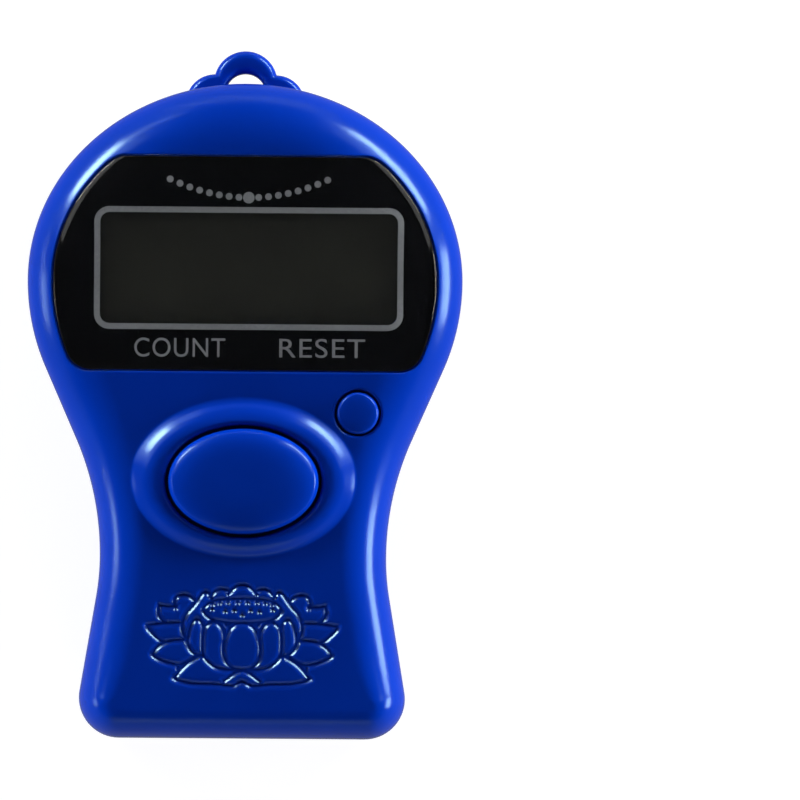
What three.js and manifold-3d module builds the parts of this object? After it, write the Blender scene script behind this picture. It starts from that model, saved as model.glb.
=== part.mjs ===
// Hand-held digital prayer counter, lying on its back.
// Millimetres. +X is the user's right, +Y runs towards the lanyard loop, +Z comes out of the face.
// Shapes are drawn about the centre of the round head, and the whole counter is then moved so that
// the middle of its back lies at the origin.

import * as THREE from 'three';
import { mergeVertices } from 'three/addons/utils/BufferGeometryUtils.js';
import Module from 'manifold-3d';

const wasm = await Module();
wasm.setup();

const { degToRad, lerp, smoothstep } = THREE.MathUtils;

// Case outline, seen from the front
const HEAD_R = 20.5; // half-width of the round head
const CROWN = 18.6; // head centre to the top of the case
const BASE = -43.14; // head centre to the bottom edge
const SHOULDER = degToRad(23.58); // lean of the straight stretch between head and waist
const WAIST = { y: -26, half: 13.5, upperR: 27.4, lowerR: 22.7 };
const FLARE = degToRad(9.65); // lean of the grip's lower sides
const CORNER = { x: 11.57, r: 3.8 };
const FAN_Y = -14; // a point of the axis from which the whole outline is in sight

// Case section
const PARTING = 5.5; // height of the line where the two shells meet
const FACE = 12.5; // height of the flat front face
const ROLL_Z = 7.9; // height at which the front shell's side starts to roll over
const BACK_ROLL_Z = 3.2;
const BACK_ROLL = 3.0;
const HEAD_ROLL = 6.0; // width of the rolled rim round the head
const GRIP_ROLL = 4.3;
const BASE_ROLL = 2.8;
const ROLL_STEPS = 5;
const CAVITY_STEPS = 3;
const WALL = 1.5;
const LIP = { outer: 1.05, inner: 1.9, low: 4.4, top: 6.4 }; // rear shell's rim inside the front shell
const FIT = 0.3; // clearance round the lip
const GRIP_RIBS = [-30.5, -36.5];
const RIB_HALF = 0.5;

// Window
const WINDOW = { rx: 18.05, ry: 15.7, top: 11.65, base: -8.43, baseR: 2.4, topR: 0.8 };
const WINDOW_GAP = 0.12;
const LENS_T = 0.8;
const MASK_T = 0.2;
const GLUE = 0.05;
const WINDOW_DEPTH = LENS_T + MASK_T + 2 * GLUE;
const WINDOW_WALL_Z = 10.1; // underside of the wall below the window
const WINDOW_RIM = 1.2;
const WINDOW_STEPS = 4;

// Display
const SIGHT = { x: 0.35, y: 1.14, width: 27.9, height: 10.4, r: 0.9 }; // clear opening in the mask
const APERTURE = { width: 29.0, height: 11.4, r: 1.1 };
const GLASS = { x: 0.35, half: 15, top: 7.6, base: -8.2, t: 0.7 };
const REAR_GLASS_BASE = -5.6; // the front glass reaches lower and carries the contacts
const FILM_T = 0.2;
const GLASS_POCKET = 0.3;
const FRAME_RIB = { t: 0.8, low: 8.6 };
const ZEBRA = { half: 13.5, base: -7.9, top: -6.1 };
const FOAM = { half: 12, base: 6.2, top: 7.4 };

// Count button and its raised oval pad
const COUNT = { x: 0, y: -18.85, r: 7.07, oval: 0.7, top: 14.8, crown: 0.3, edge: 1.2, flangeR: 8.3 };
const PAD = { y: -18.55, outer: 10.72, hole: 7.42, oval: 0.7145, height: 1.05, crest: 0.8, fall: 0.15 };
const PAD_ROOT = { depth: 0.6, inner: 6.9 };

// Reset button
const RESET = { x: 10.7, y: -12.37, r: 1.96, top: 12.8, crown: 0.15, edge: 0.35, flangeR: 2.7 };
const RESET_HOLE_R = 2.17;
const FLANGE = { low: 10.1, top: 10.9 };

// Silicone key domes with their contact pills
const COUNT_DOME = { footR: 5.4, webR: 4.2, neckR: 2.9, foot: 6.8, neck: 9.0, top: 9.9 };
const COUNT_PILL = { r: 1.9, low: 7.15 };
const RESET_DOME = { footR: 2.8, webR: 2.3, neckR: 1.6, foot: 6.7, neck: 8.6, top: 9.3 };
const RESET_PILL = { r: 0.9, low: 7.0 };
const WEB_T = 0.5;
const PILL_T = 0.9;

// Circuit board
const BOARD = { low: 5.2, top: 6.2, inset: 2.6, crown: 13.6, base: -26.2 };
const BOARD_SCREWS = [[-9.5, 11.2], [9.5, 11.2], [-9.6, -24.3], [9.6, -24.3]];
const BOARD_SCREW = { headR: 1.4, headT: 0.9, shaftR: 0.6, tip: 9.2, holeR: 0.8, postR: 1.5, pilotTop: 9.6 };

// Case screws, driven from the back
const CASE_SCREWS = [[0, 12.6], [-10.8, -36.5], [10.8, -36.5]];
const CASE_SCREW = { headR: 1.7, low: 1.3, seat: 2.55, shaftR: 0.85, tip: 9.5 };
const BOSS = { r: 2.1, pilotR: 1.0, pilotTop: 10.0 };
const PILLAR = { r: 3.0, root: 1.0, top: 4.9, boreR: 2.0, seat: 2.6, holeR: 1.15 };

// Battery, its pocket and its door
const CELL = { x: 0, y: -3, r: 5.8, low: 1.35, top: 4.4, capR: 4.9, capT: 0.45, edge: 0.25 };
const POCKET = { r: 6.1, wall: 0.9 };
const DOOR = { half: 7.2, base: -10.5, top: 8.5, t: 1.3, r: 1.4 };
const DOOR_GAP = 0.25;
const DOOR_FRAME = { half: 9.2, base: -12.9, top: 10.3, z: 2.6 };
const DOOR_SCREW = { y: 6.2, headR: 1.5, shaftR: 0.65, low: 0.15, seat: 0.7, tip: 3.6 };
const DOOR_BOSS = { r: 1.9, top: 4.6 };
const HOOK = { x: 3.5, half: 1.3, base: -12.2, root: -10.2, inner: -9.4, low: 1.8, top: 2.4 };
const CLIP = { x: 5.9, t: 0.25, half: 1.6, low: 2.2, foot: 9.0 };
const LEAF = { t: 0.2, half: 1.2, foot: -8.2, bend: -5.6, touch: 0.4, tip: 1.6, lift: 0.25 };

// Lanyard loop
const LOOP = { y: 18.75, r: 3.0, lobeX: 2.88, lobeY: 16.78, lobeR: 2.72, holeY: 17.7, holeR: 1.9 };
const LOOP_Z = { low: 2.2, top: 5.2, edge: 0.4 };
const SCOOP = { top: 4.4, wallR: 3.0, root: 0.5 };

const DEEP = 20; // longer than any cut

// Half the outline, from the middle of the bottom edge up the right side to the crown
function rightHalf() {
  const { y, half, upperR, lowerR } = WAIST;
  const cornerY = BASE + CORNER.r;
  const cornerEnd = [CORNER.x + CORNER.r * Math.cos(FLARE), cornerY + CORNER.r * Math.sin(FLARE)];
  const flareEnd = [half + lowerR * (1 - Math.cos(FLARE)), y - lowerR * Math.sin(FLARE)];
  const waistEnd = [half + upperR * (1 - Math.cos(SHOULDER)), y + upperR * Math.sin(SHOULDER)];
  const headStart = [HEAD_R * Math.cos(SHOULDER), -HEAD_R * Math.sin(SHOULDER)];
  const line = (from, to) => new THREE.LineCurve(new THREE.Vector2(...from), new THREE.Vector2(...to));
  const arc = (cx, cy, rx, ry, from, to) => new THREE.EllipseCurve(cx, cy, rx, ry, from, to, to < from);
  return [
    [line([0, BASE], [CORNER.x, BASE]), 3],
    [arc(CORNER.x, cornerY, CORNER.r, CORNER.r, -Math.PI / 2, FLARE), 5],
    [line(cornerEnd, flareEnd), 2],
    [arc(half + lowerR, y, lowerR, lowerR, Math.PI + FLARE, Math.PI), 2],
    [arc(half + upperR, y, upperR, upperR, Math.PI, Math.PI - SHOULDER), 4],
    [line(waistEnd, headStart), 2],
    [arc(0, 0, HEAD_R, HEAD_R, -SHOULDER, 0), 4],
    [arc(0, 0, HEAD_R, CROWN, 0, Math.PI / 2), 12],
  ];
}

// Whole outline, counter-clockwise, each point with its outward normal
function caseOutline() {
  const right = [];
  for (const [curve, steps] of rightHalf()) {
    for (let step = 0; step < steps; step += 1) {
      const point = curve.getPoint(step / steps);
      const along = curve.getTangent(step / steps);
      right.push({ x: point.x, y: point.y, nx: along.y, ny: -along.x });
    }
  }
  const left = right.slice(1).reverse().map((p) => ({ x: -p.x, y: p.y, nx: -p.nx, ny: p.ny }));
  return [...right, { x: 0, y: CROWN, nx: 0, ny: 1 }, ...left];
}

const OUTLINE = caseOutline();

// Width of the rolled rim, wide round the head and narrow down the grip
function rollWidth(y) {
  const side = lerp(GRIP_ROLL, HEAD_ROLL, smoothstep(y, -22, -6));
  return lerp(BASE_ROLL, side, smoothstep(y, BASE, -34));
}

// Any closed surface as a solid whose faces point out
function solid(geometry) {
  const bare = geometry.clone();
  bare.deleteAttribute('normal');
  bare.deleteAttribute('uv');
  const merged = mergeVertices(bare, 1e-4);
  const position = merged.getAttribute('position');
  const index = merged.getIndex();
  const [a, b, c] = [new THREE.Vector3(), new THREE.Vector3(), new THREE.Vector3()];
  const faces = [];
  let volume = 0;
  for (let i = 0; i < index.count; i += 3) {
    const face = [index.getX(i), index.getX(i + 1), index.getX(i + 2)];
    if (new Set(face).size === 3) {
      a.fromBufferAttribute(position, face[0]);
      b.fromBufferAttribute(position, face[1]);
      c.fromBufferAttribute(position, face[2]);
      volume += a.dot(b.cross(c));
      faces.push(face);
    }
  }
  const outward = volume > 0 ? faces : faces.map(([i, j, k]) => [i, k, j]);
  const triVerts = new Uint32Array(outward.flat());
  const vertProperties = new Float32Array(position.array);
  return new wasm.Manifold(new wasm.Mesh({ numProp: 3, vertProperties, triVerts }));
}

// Rings of points joined into a skin and closed at both ends by fans
function loft(rings) {
  const size = rings[0].length;
  const points = rings.flat();
  const index = [];
  for (let ring = 0; ring + 1 < rings.length; ring += 1) {
    for (let i = 0; i < size; i += 1) {
      const here = ring * size + i;
      const next = ring * size + ((i + 1) % size);
      index.push(here, next, next + size, here, next + size, here + size);
    }
  }
  const last = (rings.length - 1) * size;
  const low = points.length;
  const high = low + 1;
  points.push(new THREE.Vector3(0, FAN_Y, rings[0][0].z));
  points.push(new THREE.Vector3(0, FAN_Y, rings.at(-1)[0].z));
  for (let i = 0; i < size; i += 1) {
    const next = (i + 1) % size;
    index.push(low, next, i, high, last + i, last + next);
  }
  const geometry = new THREE.BufferGeometry().setFromPoints(points);
  geometry.setIndex(index);
  return solid(geometry);
}

const ringAt = (insetOf, z) =>
  OUTLINE.map((p) => new THREE.Vector3(p.x - p.nx * insetOf(p), p.y - p.ny * insetOf(p), z));

// The case outline, drawn in by an inset, as a straight-sided slab
function slab(inset, low, top) {
  return loft([ringAt(() => inset, low), ringAt(() => inset, top)]);
}

// The same slab with its upper edge rolled over a quarter ellipse
function pillow({ inset, low, rollZ, top, roll, steps }) {
  const rings = [ringAt(() => inset, low)];
  for (let step = 0; step <= steps; step += 1) {
    const angle = (step / steps) * (Math.PI / 2);
    const drawIn = 1 - Math.cos(angle);
    rings.push(ringAt((p) => inset + roll(p.y) * drawIn, rollZ + (top - rollZ) * Math.sin(angle)));
  }
  return loft(rings);
}

function prism(shape, low, top, curveSegments = 3) {
  const settings = { depth: top - low, bevelEnabled: false, curveSegments };
  return solid(new THREE.ExtrudeGeometry(shape, settings).translate(0, 0, low));
}

function box(x0, x1, y0, y1, z0, z1) {
  const geometry = new THREE.BoxGeometry(x1 - x0, y1 - y0, z1 - z0);
  return solid(geometry.translate((x0 + x1) / 2, (y0 + y1) / 2, (z0 + z1) / 2));
}

// Upright round or oval post
function post(x, y, r, low, top, sides = 18, oval = 1) {
  const geometry = new THREE.CylinderGeometry(r, r, top - low, sides);
  return solid(geometry.rotateX(Math.PI / 2).scale(1, oval, 1).translate(x, y, (low + top) / 2));
}

// Profile of radius and height pairs turned about an upright axis
function turned(x, y, profile, sides, oval = 1) {
  const points = profile.map(([r, z]) => new THREE.Vector2(r, z));
  const geometry = new THREE.LatheGeometry(points, sides);
  return solid(geometry.rotateX(Math.PI / 2).scale(1, oval, 1).translate(x, y, 0));
}

// Points of an arc in a profile, by its centre and its two angles in degrees
function arcPoints(r, z, radius, from, to, steps) {
  return Array.from({ length: steps + 1 }, (_, i) => {
    const angle = degToRad(lerp(from, to, i / steps));
    return [r + radius * Math.cos(angle), z + radius * Math.sin(angle)];
  });
}

function roundedRect(x0, x1, y0, y1, r) {
  const shape = new THREE.Shape();
  shape.absarc(x1 - r, y0 + r, r, -Math.PI / 2, 0);
  shape.absarc(x1 - r, y1 - r, r, 0, Math.PI / 2);
  shape.absarc(x0 + r, y1 - r, r, Math.PI / 2, Math.PI);
  shape.absarc(x0 + r, y0 + r, r, Math.PI, 1.5 * Math.PI);
  return shape;
}

const rectAbout = (x, y, width, height, r) =>
  roundedRect(x - width / 2, x + width / 2, y - height / 2, y + height / 2, r);

// Window outline: flat top and bottom, with sides that run parallel to the head
function windowShape(grow) {
  const rx = WINDOW.rx + grow;
  const ry = WINDOW.ry + grow;
  const top = WINDOW.top + grow;
  const cornerY = WINDOW.base - grow + WINDOW.baseR;
  const cornerX = Math.sqrt((rx - WINDOW.baseR) ** 2 - cornerY ** 2);
  const lean = Math.atan2(cornerY, cornerX);
  const topAngle = Math.asin((top - WINDOW.topR) / ry);
  const topX = rx * Math.sqrt(1 - (top / ry) ** 2);
  const shape = new THREE.Shape();
  shape.absarc(cornerX, cornerY, WINDOW.baseR, -Math.PI / 2, lean);
  shape.absarc(0, 0, rx, lean, 0);
  shape.absellipse(0, 0, rx, ry, 0, topAngle);
  shape.quadraticCurveTo(topX, top, topX - WINDOW.topR, top);
  shape.lineTo(WINDOW.topR - topX, top);
  shape.quadraticCurveTo(-topX, top, -rx * Math.cos(topAngle), top - WINDOW.topR);
  shape.absellipse(0, 0, rx, ry, Math.PI - topAngle, Math.PI);
  shape.absarc(0, 0, rx, Math.PI, Math.PI - lean);
  shape.absarc(-cornerX, cornerY, WINDOW.baseR, Math.PI - lean, 1.5 * Math.PI);
  return shape;
}

const windowPrism = (grow, low) => prism(windowShape(grow), low, FACE + 1, WINDOW_STEPS);

// Skin of the front face; lowered copies of it shape the window and its seat
const frontSkin = pillow({
  inset: 0, low: PARTING, rollZ: ROLL_Z, top: FACE, roll: rollWidth, steps: ROLL_STEPS,
});
const lowered = (depth) => frontSkin.translate([0, 0, -depth]);

// Raised pad round the count button: an oval ring rooted in the face. Its section climbs from the
// outer foot, ever more gently, to a crest near the button, and dips from there to the hole, which
// sits a little off the ring's middle and is cut afterwards.
function buttonPad() {
  const { outer, hole, oval, height, crest, fall } = PAD;
  const root = FACE - PAD_ROOT.depth;
  const section = [0, 0.1, 0.22, 0.36, 0.55, crest, 1].map((t) => {
    const climb = height * (1 - Math.max(1 - t / crest, 0) ** 2);
    const dip = fall * (Math.max(t - crest, 0) / (1 - crest)) ** 2;
    return [lerp(outer, hole, t), FACE + climb - dip];
  });
  const lip = [[PAD_ROOT.inner, FACE + height - fall], [PAD_ROOT.inner, root]];
  return turned(COUNT.x, PAD.y, [[outer, root], ...section, ...lip, [outer, root]], 40, oval);
}

function frontShell() {
  const cavity = pillow({
    inset: WALL,
    low: PARTING - 1,
    rollZ: ROLL_Z,
    top: FACE - WALL,
    roll: (y) => rollWidth(y) - WALL,
    steps: CAVITY_STEPS,
  });
  const windowWall = windowPrism(WINDOW_RIM, WINDOW_WALL_Z);
  const glassBlock = (grow, low, top) => box(
    GLASS.x - GLASS.half - grow, GLASS.x + GLASS.half + grow, GLASS.base - grow, GLASS.top + grow, low, top,
  );
  const glassBed = glassBlock(GLASS_POCKET, PARTING, WINDOW_WALL_Z);
  const bedWall = glassBlock(GLASS_POCKET + FRAME_RIB.t, FRAME_RIB.low, FACE);

  // Everything that hangs from the inside of the face, cut off half way through the wall
  let inside = bedWall;
  for (const y of GRIP_RIBS) {
    inside = inside.add(box(-9.6, 9.6, y - RIB_HALF, y + RIB_HALF, 8.8, FACE));
  }
  for (const [bossX, bossY] of CASE_SCREWS) {
    inside = inside.add(post(bossX, bossY, BOSS.r, BOARD.low, FACE));
  }
  for (const [postX, postY] of BOARD_SCREWS) {
    inside = inside.add(post(postX, postY, BOARD_SCREW.postR, BOARD.top, FACE, 16));
  }
  let shell = frontSkin.subtract(cavity.subtract(windowWall)).add(inside.intersect(lowered(WALL / 2)));
  shell = shell.add(buttonPad());

  // Openings in the face
  const windowSeat = windowPrism(WINDOW_GAP, WINDOW_WALL_Z - 1).subtract(lowered(WINDOW_DEPTH));
  const aperture = rectAbout(SIGHT.x, SIGHT.y, APERTURE.width, APERTURE.height, APERTURE.r);
  shell = shell.subtract(glassBed).subtract(windowSeat).subtract(prism(aperture, FRAME_RIB.low, FACE));
  shell = shell.subtract(post(COUNT.x, COUNT.y, PAD.hole, FLANGE.low, DEEP, 40, PAD.oval));
  shell = shell.subtract(post(RESET.x, RESET.y, RESET_HOLE_R, FLANGE.low, DEEP, 28));
  shell = shell.subtract(post(RESET.x, RESET.y, RESET.flangeR + FIT, BOARD.top, FACE - WALL, 28));

  // Step for the rear shell's lip, and the pilot holes
  const step = slab(LIP.outer - FIT, PARTING - 1, LIP.top + FIT).subtract(slab(WALL + 0.1, 0, DEEP));
  shell = shell.subtract(step);
  for (const [bossX, bossY] of CASE_SCREWS) {
    shell = shell.subtract(post(bossX, bossY, BOSS.pilotR, 0, BOSS.pilotTop));
  }
  for (const [postX, postY] of BOARD_SCREWS) {
    shell = shell.subtract(post(postX, postY, BOARD_SCREW.holeR, 0, BOARD_SCREW.pilotTop, 12));
  }
  return shell;
}

// Loop of three rounded discs, pierced for the lanyard
function lanyardLoop() {
  const { low, top, edge } = LOOP_Z;
  const disc = (x, y, r) => {
    const lowEdge = arcPoints(r - edge, low + edge, edge, -90, 0, 2);
    const topEdge = arcPoints(r - edge, top - edge, edge, 0, 90, 2);
    return turned(x, y, [[0, low], ...lowEdge, ...topEdge, [0, top]], 28);
  };
  const lobes = disc(LOOP.lobeX, LOOP.lobeY, LOOP.lobeR).add(disc(-LOOP.lobeX, LOOP.lobeY, LOOP.lobeR));
  return disc(0, LOOP.y, LOOP.r).add(lobes).subtract(post(0, LOOP.holeY, LOOP.holeR, 0, DEEP, 24));
}

const doorShape = (grow) =>
  roundedRect(-DOOR.half - grow, DOOR.half + grow, DOOR.base - grow, DOOR.top + grow, DOOR.r + grow);

function rearShell() {
  const upsideDown = (settings) => pillow(settings).scale([1, 1, -1]);
  const skin = upsideDown({
    inset: 0,
    low: -PARTING,
    rollZ: -BACK_ROLL_Z,
    top: 0,
    roll: () => BACK_ROLL,
    steps: CAVITY_STEPS + 1,
  });
  const cavity = upsideDown({
    inset: WALL,
    low: -DEEP,
    rollZ: -BACK_ROLL_Z,
    top: -WALL,
    roll: () => BACK_ROLL - WALL,
    steps: CAVITY_STEPS,
  });
  const lip = slab(LIP.outer, LIP.low, LIP.top).subtract(slab(LIP.inner, 0, DEEP));
  const frame = DOOR_FRAME;
  let inside = box(-frame.half, frame.half, frame.base, frame.top, PILLAR.root, frame.z);
  inside = inside.add(post(CELL.x, CELL.y, POCKET.r + POCKET.wall, PILLAR.root, PILLAR.top, 32));
  inside = inside.add(post(0, DOOR_SCREW.y, DOOR_BOSS.r, PILLAR.root, DOOR_BOSS.top));
  for (const [x, y] of CASE_SCREWS) {
    inside = inside.add(post(x, y, PILLAR.r, PILLAR.root, PILLAR.top));
  }
  for (const y of GRIP_RIBS) {
    inside = inside.add(box(-11.5, 11.5, y - RIB_HALF, y + RIB_HALF, PILLAR.root, 3.4));
  }
  inside = inside.add(post(0, LOOP.holeY, SCOOP.wallR, SCOOP.root, LOOP_Z.top, 24).intersect(skin));
  let shell = skin.add(lanyardLoop()).subtract(cavity).add(inside).add(lip);

  // Scoop behind the loop, battery door seat, cell pocket and screw holes
  shell = shell.subtract(post(0, LOOP.holeY, LOOP.holeR, -1, SCOOP.top, 24));
  shell = shell.subtract(prism(doorShape(DOOR_GAP), -1, WALL + GLUE));
  shell = shell.subtract(post(CELL.x, CELL.y, POCKET.r, 0, DEEP, 32));
  shell = shell.subtract(post(0, DOOR_SCREW.y, DOOR_SCREW.shaftR + 0.2, 0, DOOR_SCREW.tip + FIT, 12));
  for (const x of [-HOOK.x, HOOK.x]) {
    const reach = HOOK.half + FIT;
    shell = shell.subtract(box(x - reach, x + reach, HOOK.base - FIT, HOOK.inner + FIT, WALL, DEEP));
  }
  const clipReach = CLIP.half + FIT;
  shell = shell.subtract(box(CLIP.x - 1, 7.6, CELL.y - clipReach, CELL.y + clipReach, CLIP.low - FIT, DEEP));
  for (const [x, y] of CASE_SCREWS) {
    shell = shell.subtract(post(x, y, PILLAR.boreR, -1, PILLAR.seat));
    shell = shell.subtract(post(x, y, PILLAR.holeR, 0, DEEP, 12));
  }
  return shell;
}

function batteryDoor() {
  let door = prism(doorShape(0), 0, DOOR.t);
  for (const x of [-HOOK.x, HOOK.x]) {
    const [left, right] = [x - HOOK.half, x + HOOK.half];
    door = door.add(box(left, right, HOOK.root, HOOK.inner, DOOR.t / 2, HOOK.top));
    door = door.add(box(left, right, HOOK.base, HOOK.inner, HOOK.low, HOOK.top));
  }
  door = door.subtract(post(0, DOOR_SCREW.y, DOOR_SCREW.headR + 0.2, -1, DOOR_SCREW.seat + 0.02));
  return door.subtract(post(0, DOOR_SCREW.y, DOOR_SCREW.shaftR + 0.2, 0, DEEP, 12));
}

// Lens and mask both follow the rolled face, one below the other
function windowLens() {
  return windowPrism(0, WINDOW_WALL_Z - 1).intersect(frontSkin).subtract(lowered(LENS_T));
}

function windowMask() {
  const depth = LENS_T + GLUE;
  const sight = rectAbout(SIGHT.x, SIGHT.y, SIGHT.width, SIGHT.height, SIGHT.r);
  const sheet = windowPrism(0, WINDOW_WALL_Z - 2).intersect(lowered(depth));
  return sheet.subtract(lowered(depth + MASK_T)).subtract(prism(sight, PARTING, DEEP));
}

// Moulded key: crowned cap, skirt with a retaining flange, and a plunger down the middle
function countButton() {
  const { r, top, crown, edge, flangeR } = COUNT;
  const shoulder = top - crown;
  const crownPoints = [0.65, 0.3].map((t) => [(r - edge) * t, shoulder + crown * (1 - t ** 2)]);
  const profile = [
    [0, COUNT_DOME.top],
    [2.2, COUNT_DOME.top],
    [2.2, shoulder - 1.1],
    [5.9, shoulder - 1.1],
    [5.9, FLANGE.low],
    [flangeR, FLANGE.low],
    [flangeR, FLANGE.top],
    [r, FLANGE.top],
    ...arcPoints(r - edge, shoulder - edge, edge, 0, 90, 4),
    ...crownPoints,
    [0, top],
  ];
  return turned(COUNT.x, COUNT.y, profile, 40, COUNT.oval);
}

function resetButton() {
  const { r, top, crown, edge, flangeR } = RESET;
  const shoulder = top - crown;
  const profile = [
    [0, RESET_DOME.top],
    [1.2, RESET_DOME.top],
    [1.2, FLANGE.low],
    [flangeR, FLANGE.low],
    [flangeR, FLANGE.top],
    [r, FLANGE.top],
    ...arcPoints(r - edge, shoulder - edge, edge, 0, 90, 2),
    [(r - edge) / 2, top - crown / 4],
    [0, top],
  ];
  return turned(RESET.x, RESET.y, profile, 24);
}

// Rubber dome: foot on the board, thin sloping web, plunger that the key bears on
function keyDome(key, { footR, webR, neckR, foot, neck, top }, pill) {
  const roof = pill.low + PILL_T + GLUE;
  const profile = [
    [0, roof],
    [neckR - WEB_T, roof],
    [webR - WEB_T, foot],
    [webR - WEB_T, BOARD.top],
    [footR, BOARD.top],
    [footR, foot],
    [webR + WEB_T / 4, foot],
    [neckR, neck],
    [neckR - WEB_T / 2, top],
    [0, top],
  ];
  return turned(key.x, key.y, profile, 20);
}

const contactPill = (key, pill) => post(key.x, key.y, pill.r, pill.low, pill.low + PILL_T);

function circuitBoard() {
  let board = slab(BOARD.inset, BOARD.low, BOARD.top);
  board = board.intersect(box(-HEAD_R, HEAD_R, BOARD.base, BOARD.crown, 0, DEEP));
  const [crownBoss] = CASE_SCREWS;
  board = board.subtract(post(...crownBoss, BOSS.r + FIT, 0, DEEP));
  for (const [x, y] of BOARD_SCREWS) {
    board = board.subtract(post(x, y, BOARD_SCREW.holeR, 0, DEEP, 12));
  }
  return board;
}

// Screw driven upwards: head below, shank above
function screw(x, y, headR, headLow, seat, shaftR, tip) {
  const edge = Math.min(headR, seat - headLow) * 0.4;
  const profile = [
    [0, headLow],
    ...arcPoints(headR - edge, headLow + edge, edge, -90, 0, 1),
    [headR, seat],
    [shaftR, seat],
    [shaftR, tip - shaftR],
    [0, tip],
  ];
  return turned(x, y, profile, 12);
}

function buttonCell() {
  const { x, y, r, low, top, capR, capT, edge } = CELL;
  const shoulder = top - capT;
  const profile = [
    [0, low],
    ...arcPoints(r - edge, low + edge, edge, -90, 0, 1),
    ...arcPoints(r - edge, shoulder - edge, edge, 0, 90, 1),
    [capR, shoulder],
    ...arcPoints(capR - edge, top - edge, edge, 0, 90, 1),
    [0, top],
  ];
  return turned(x, y, profile, 32);
}

// Clip that stands against the side of the cell, with its foot under the board
function positiveContact() {
  const { x, t, half, low, foot } = CLIP;
  const [front, back] = [CELL.y - half, CELL.y + half];
  const leg = box(x, x + t, front, back, low, BOARD.low);
  return leg.add(box(x, foot, front, back, BOARD.low - t, BOARD.low));
}

// Springy leaf from a foot under the board down to the cap of the cell
function negativeContact() {
  const { t, half, foot, bend, touch, tip, lift } = LEAF;
  const rest = CELL.top + GLUE;
  const under = [[foot, BOARD.low - t], [bend, BOARD.low - t], [touch, rest], [tip, rest + lift]];
  const over = under.map(([x, z]) => [x, z + t]).reverse();
  const shape = new THREE.Shape([...under, ...over].map(([x, z]) => new THREE.Vector2(x, z)));
  const leaf = new THREE.ExtrudeGeometry(shape, { depth: 2 * half, bevelEnabled: false });
  return solid(leaf.rotateX(Math.PI / 2).translate(0, CELL.y + half, 0));
}

function sheetOfGlass(base, low) {
  return box(GLASS.x - GLASS.half, GLASS.x + GLASS.half, base, GLASS.top, low, low + GLASS.t);
}

const material = (color, roughness, metalness = 0) =>
  new THREE.MeshStandardMaterial({ color, roughness, metalness, flatShading: true });

const finish = {
  blueAbs: material(0x0034a8, 0.28),
  lens: material(0xe8ecec, 0.06),
  print: material(0x08080c, 0.4),
  film: material(0x2b2d26, 0.35),
  glass: material(0x59605a, 0.1),
  fibreboard: material(0x2f5d3a, 0.5),
  resin: material(0x101012, 0.35),
  elastomer: material(0x3a3a3c, 0.8),
  foam: material(0x2a2a2c, 0.95),
  silicone: material(0xb9c2c4, 0.6),
  carbon: material(0x151515, 0.7),
  steel: material(0x9aa0a4, 0.35, 0.9),
  nickel: material(0xc2c0b8, 0.3, 1.0),
  ceramic: material(0xb08a5a, 0.6),
};
finish.lens.transparent = true;
finish.lens.opacity = 0.3;

const counter = new THREE.Group();
counter.position.y = -(BASE + LOOP.y + LOOP.r) / 2;

function add(name, shape, look) {
  const raw = shape.getMesh();
  const geometry = new THREE.BufferGeometry();
  geometry.setAttribute('position', new THREE.BufferAttribute(raw.vertProperties, 3));
  geometry.setIndex(new THREE.BufferAttribute(raw.triVerts, 1));
  geometry.computeVertexNormals();
  const mesh = new THREE.Mesh(geometry, look);
  mesh.name = name;
  counter.add(mesh);
}

add('front_shell', frontShell(), finish.blueAbs);
add('rear_shell', rearShell(), finish.blueAbs);
add('battery_door', batteryDoor(), finish.blueAbs);
add('window_lens', windowLens(), finish.lens);
add('window_mask', windowMask(), finish.print);
add('count_button', countButton(), finish.blueAbs);
add('reset_button', resetButton(), finish.blueAbs);

const glassTop = WINDOW_WALL_Z;
const frontGlassLow = glassTop - GLASS.t;
const rearGlassLow = frontGlassLow - GLASS.t;
const reflectorLow = rearGlassLow - FILM_T;
const filmEdge = FIT;
const frontFilm = rectAbout(SIGHT.x, SIGHT.y, SIGHT.width, SIGHT.height, filmEdge);
add('lcd_front_polariser', prism(frontFilm, glassTop, glassTop + FILM_T), finish.film);
add('lcd_front_glass', sheetOfGlass(GLASS.base, frontGlassLow), finish.glass);
add('lcd_rear_glass', sheetOfGlass(REAR_GLASS_BASE, rearGlassLow), finish.glass);
add('lcd_reflector', box(
  GLASS.x - GLASS.half + filmEdge, GLASS.x + GLASS.half - filmEdge,
  REAR_GLASS_BASE + filmEdge, GLASS.top - filmEdge, reflectorLow, rearGlassLow,
), finish.film);
add('zebra_strip', box(
  GLASS.x - ZEBRA.half, GLASS.x + ZEBRA.half, ZEBRA.base, ZEBRA.top, BOARD.top, frontGlassLow,
), finish.elastomer);
add('foam_strip', box(
  GLASS.x - FOAM.half, GLASS.x + FOAM.half, FOAM.base, FOAM.top, BOARD.top, reflectorLow,
), finish.foam);

add('circuit_board', circuitBoard(), finish.fibreboard);
add('chip_resin_blob', turned(-4, 0, [
  [0, BOARD.top], [3.8, BOARD.top], [3.5, BOARD.top + 0.5], [2.4, BOARD.top + 1.0], [0, BOARD.top + 1.25],
], 24), finish.resin);
add('chip_capacitor', box(6, 8, 1, 2.25, BOARD.top, BOARD.top + 0.85), finish.ceramic);
add('chip_resistor', box(6, 8, -2.5, -1.25, BOARD.top, BOARD.top + 0.5), finish.ceramic);

add('count_key_dome', keyDome(COUNT, COUNT_DOME, COUNT_PILL), finish.silicone);
add('reset_key_dome', keyDome(RESET, RESET_DOME, RESET_PILL), finish.silicone);
add('count_contact_pill', contactPill(COUNT, COUNT_PILL), finish.carbon);
add('reset_contact_pill', contactPill(RESET, RESET_PILL), finish.carbon);

add('button_cell', buttonCell(), finish.nickel);
add('positive_contact', positiveContact(), finish.nickel);
add('negative_contact', negativeContact(), finish.nickel);

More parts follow.
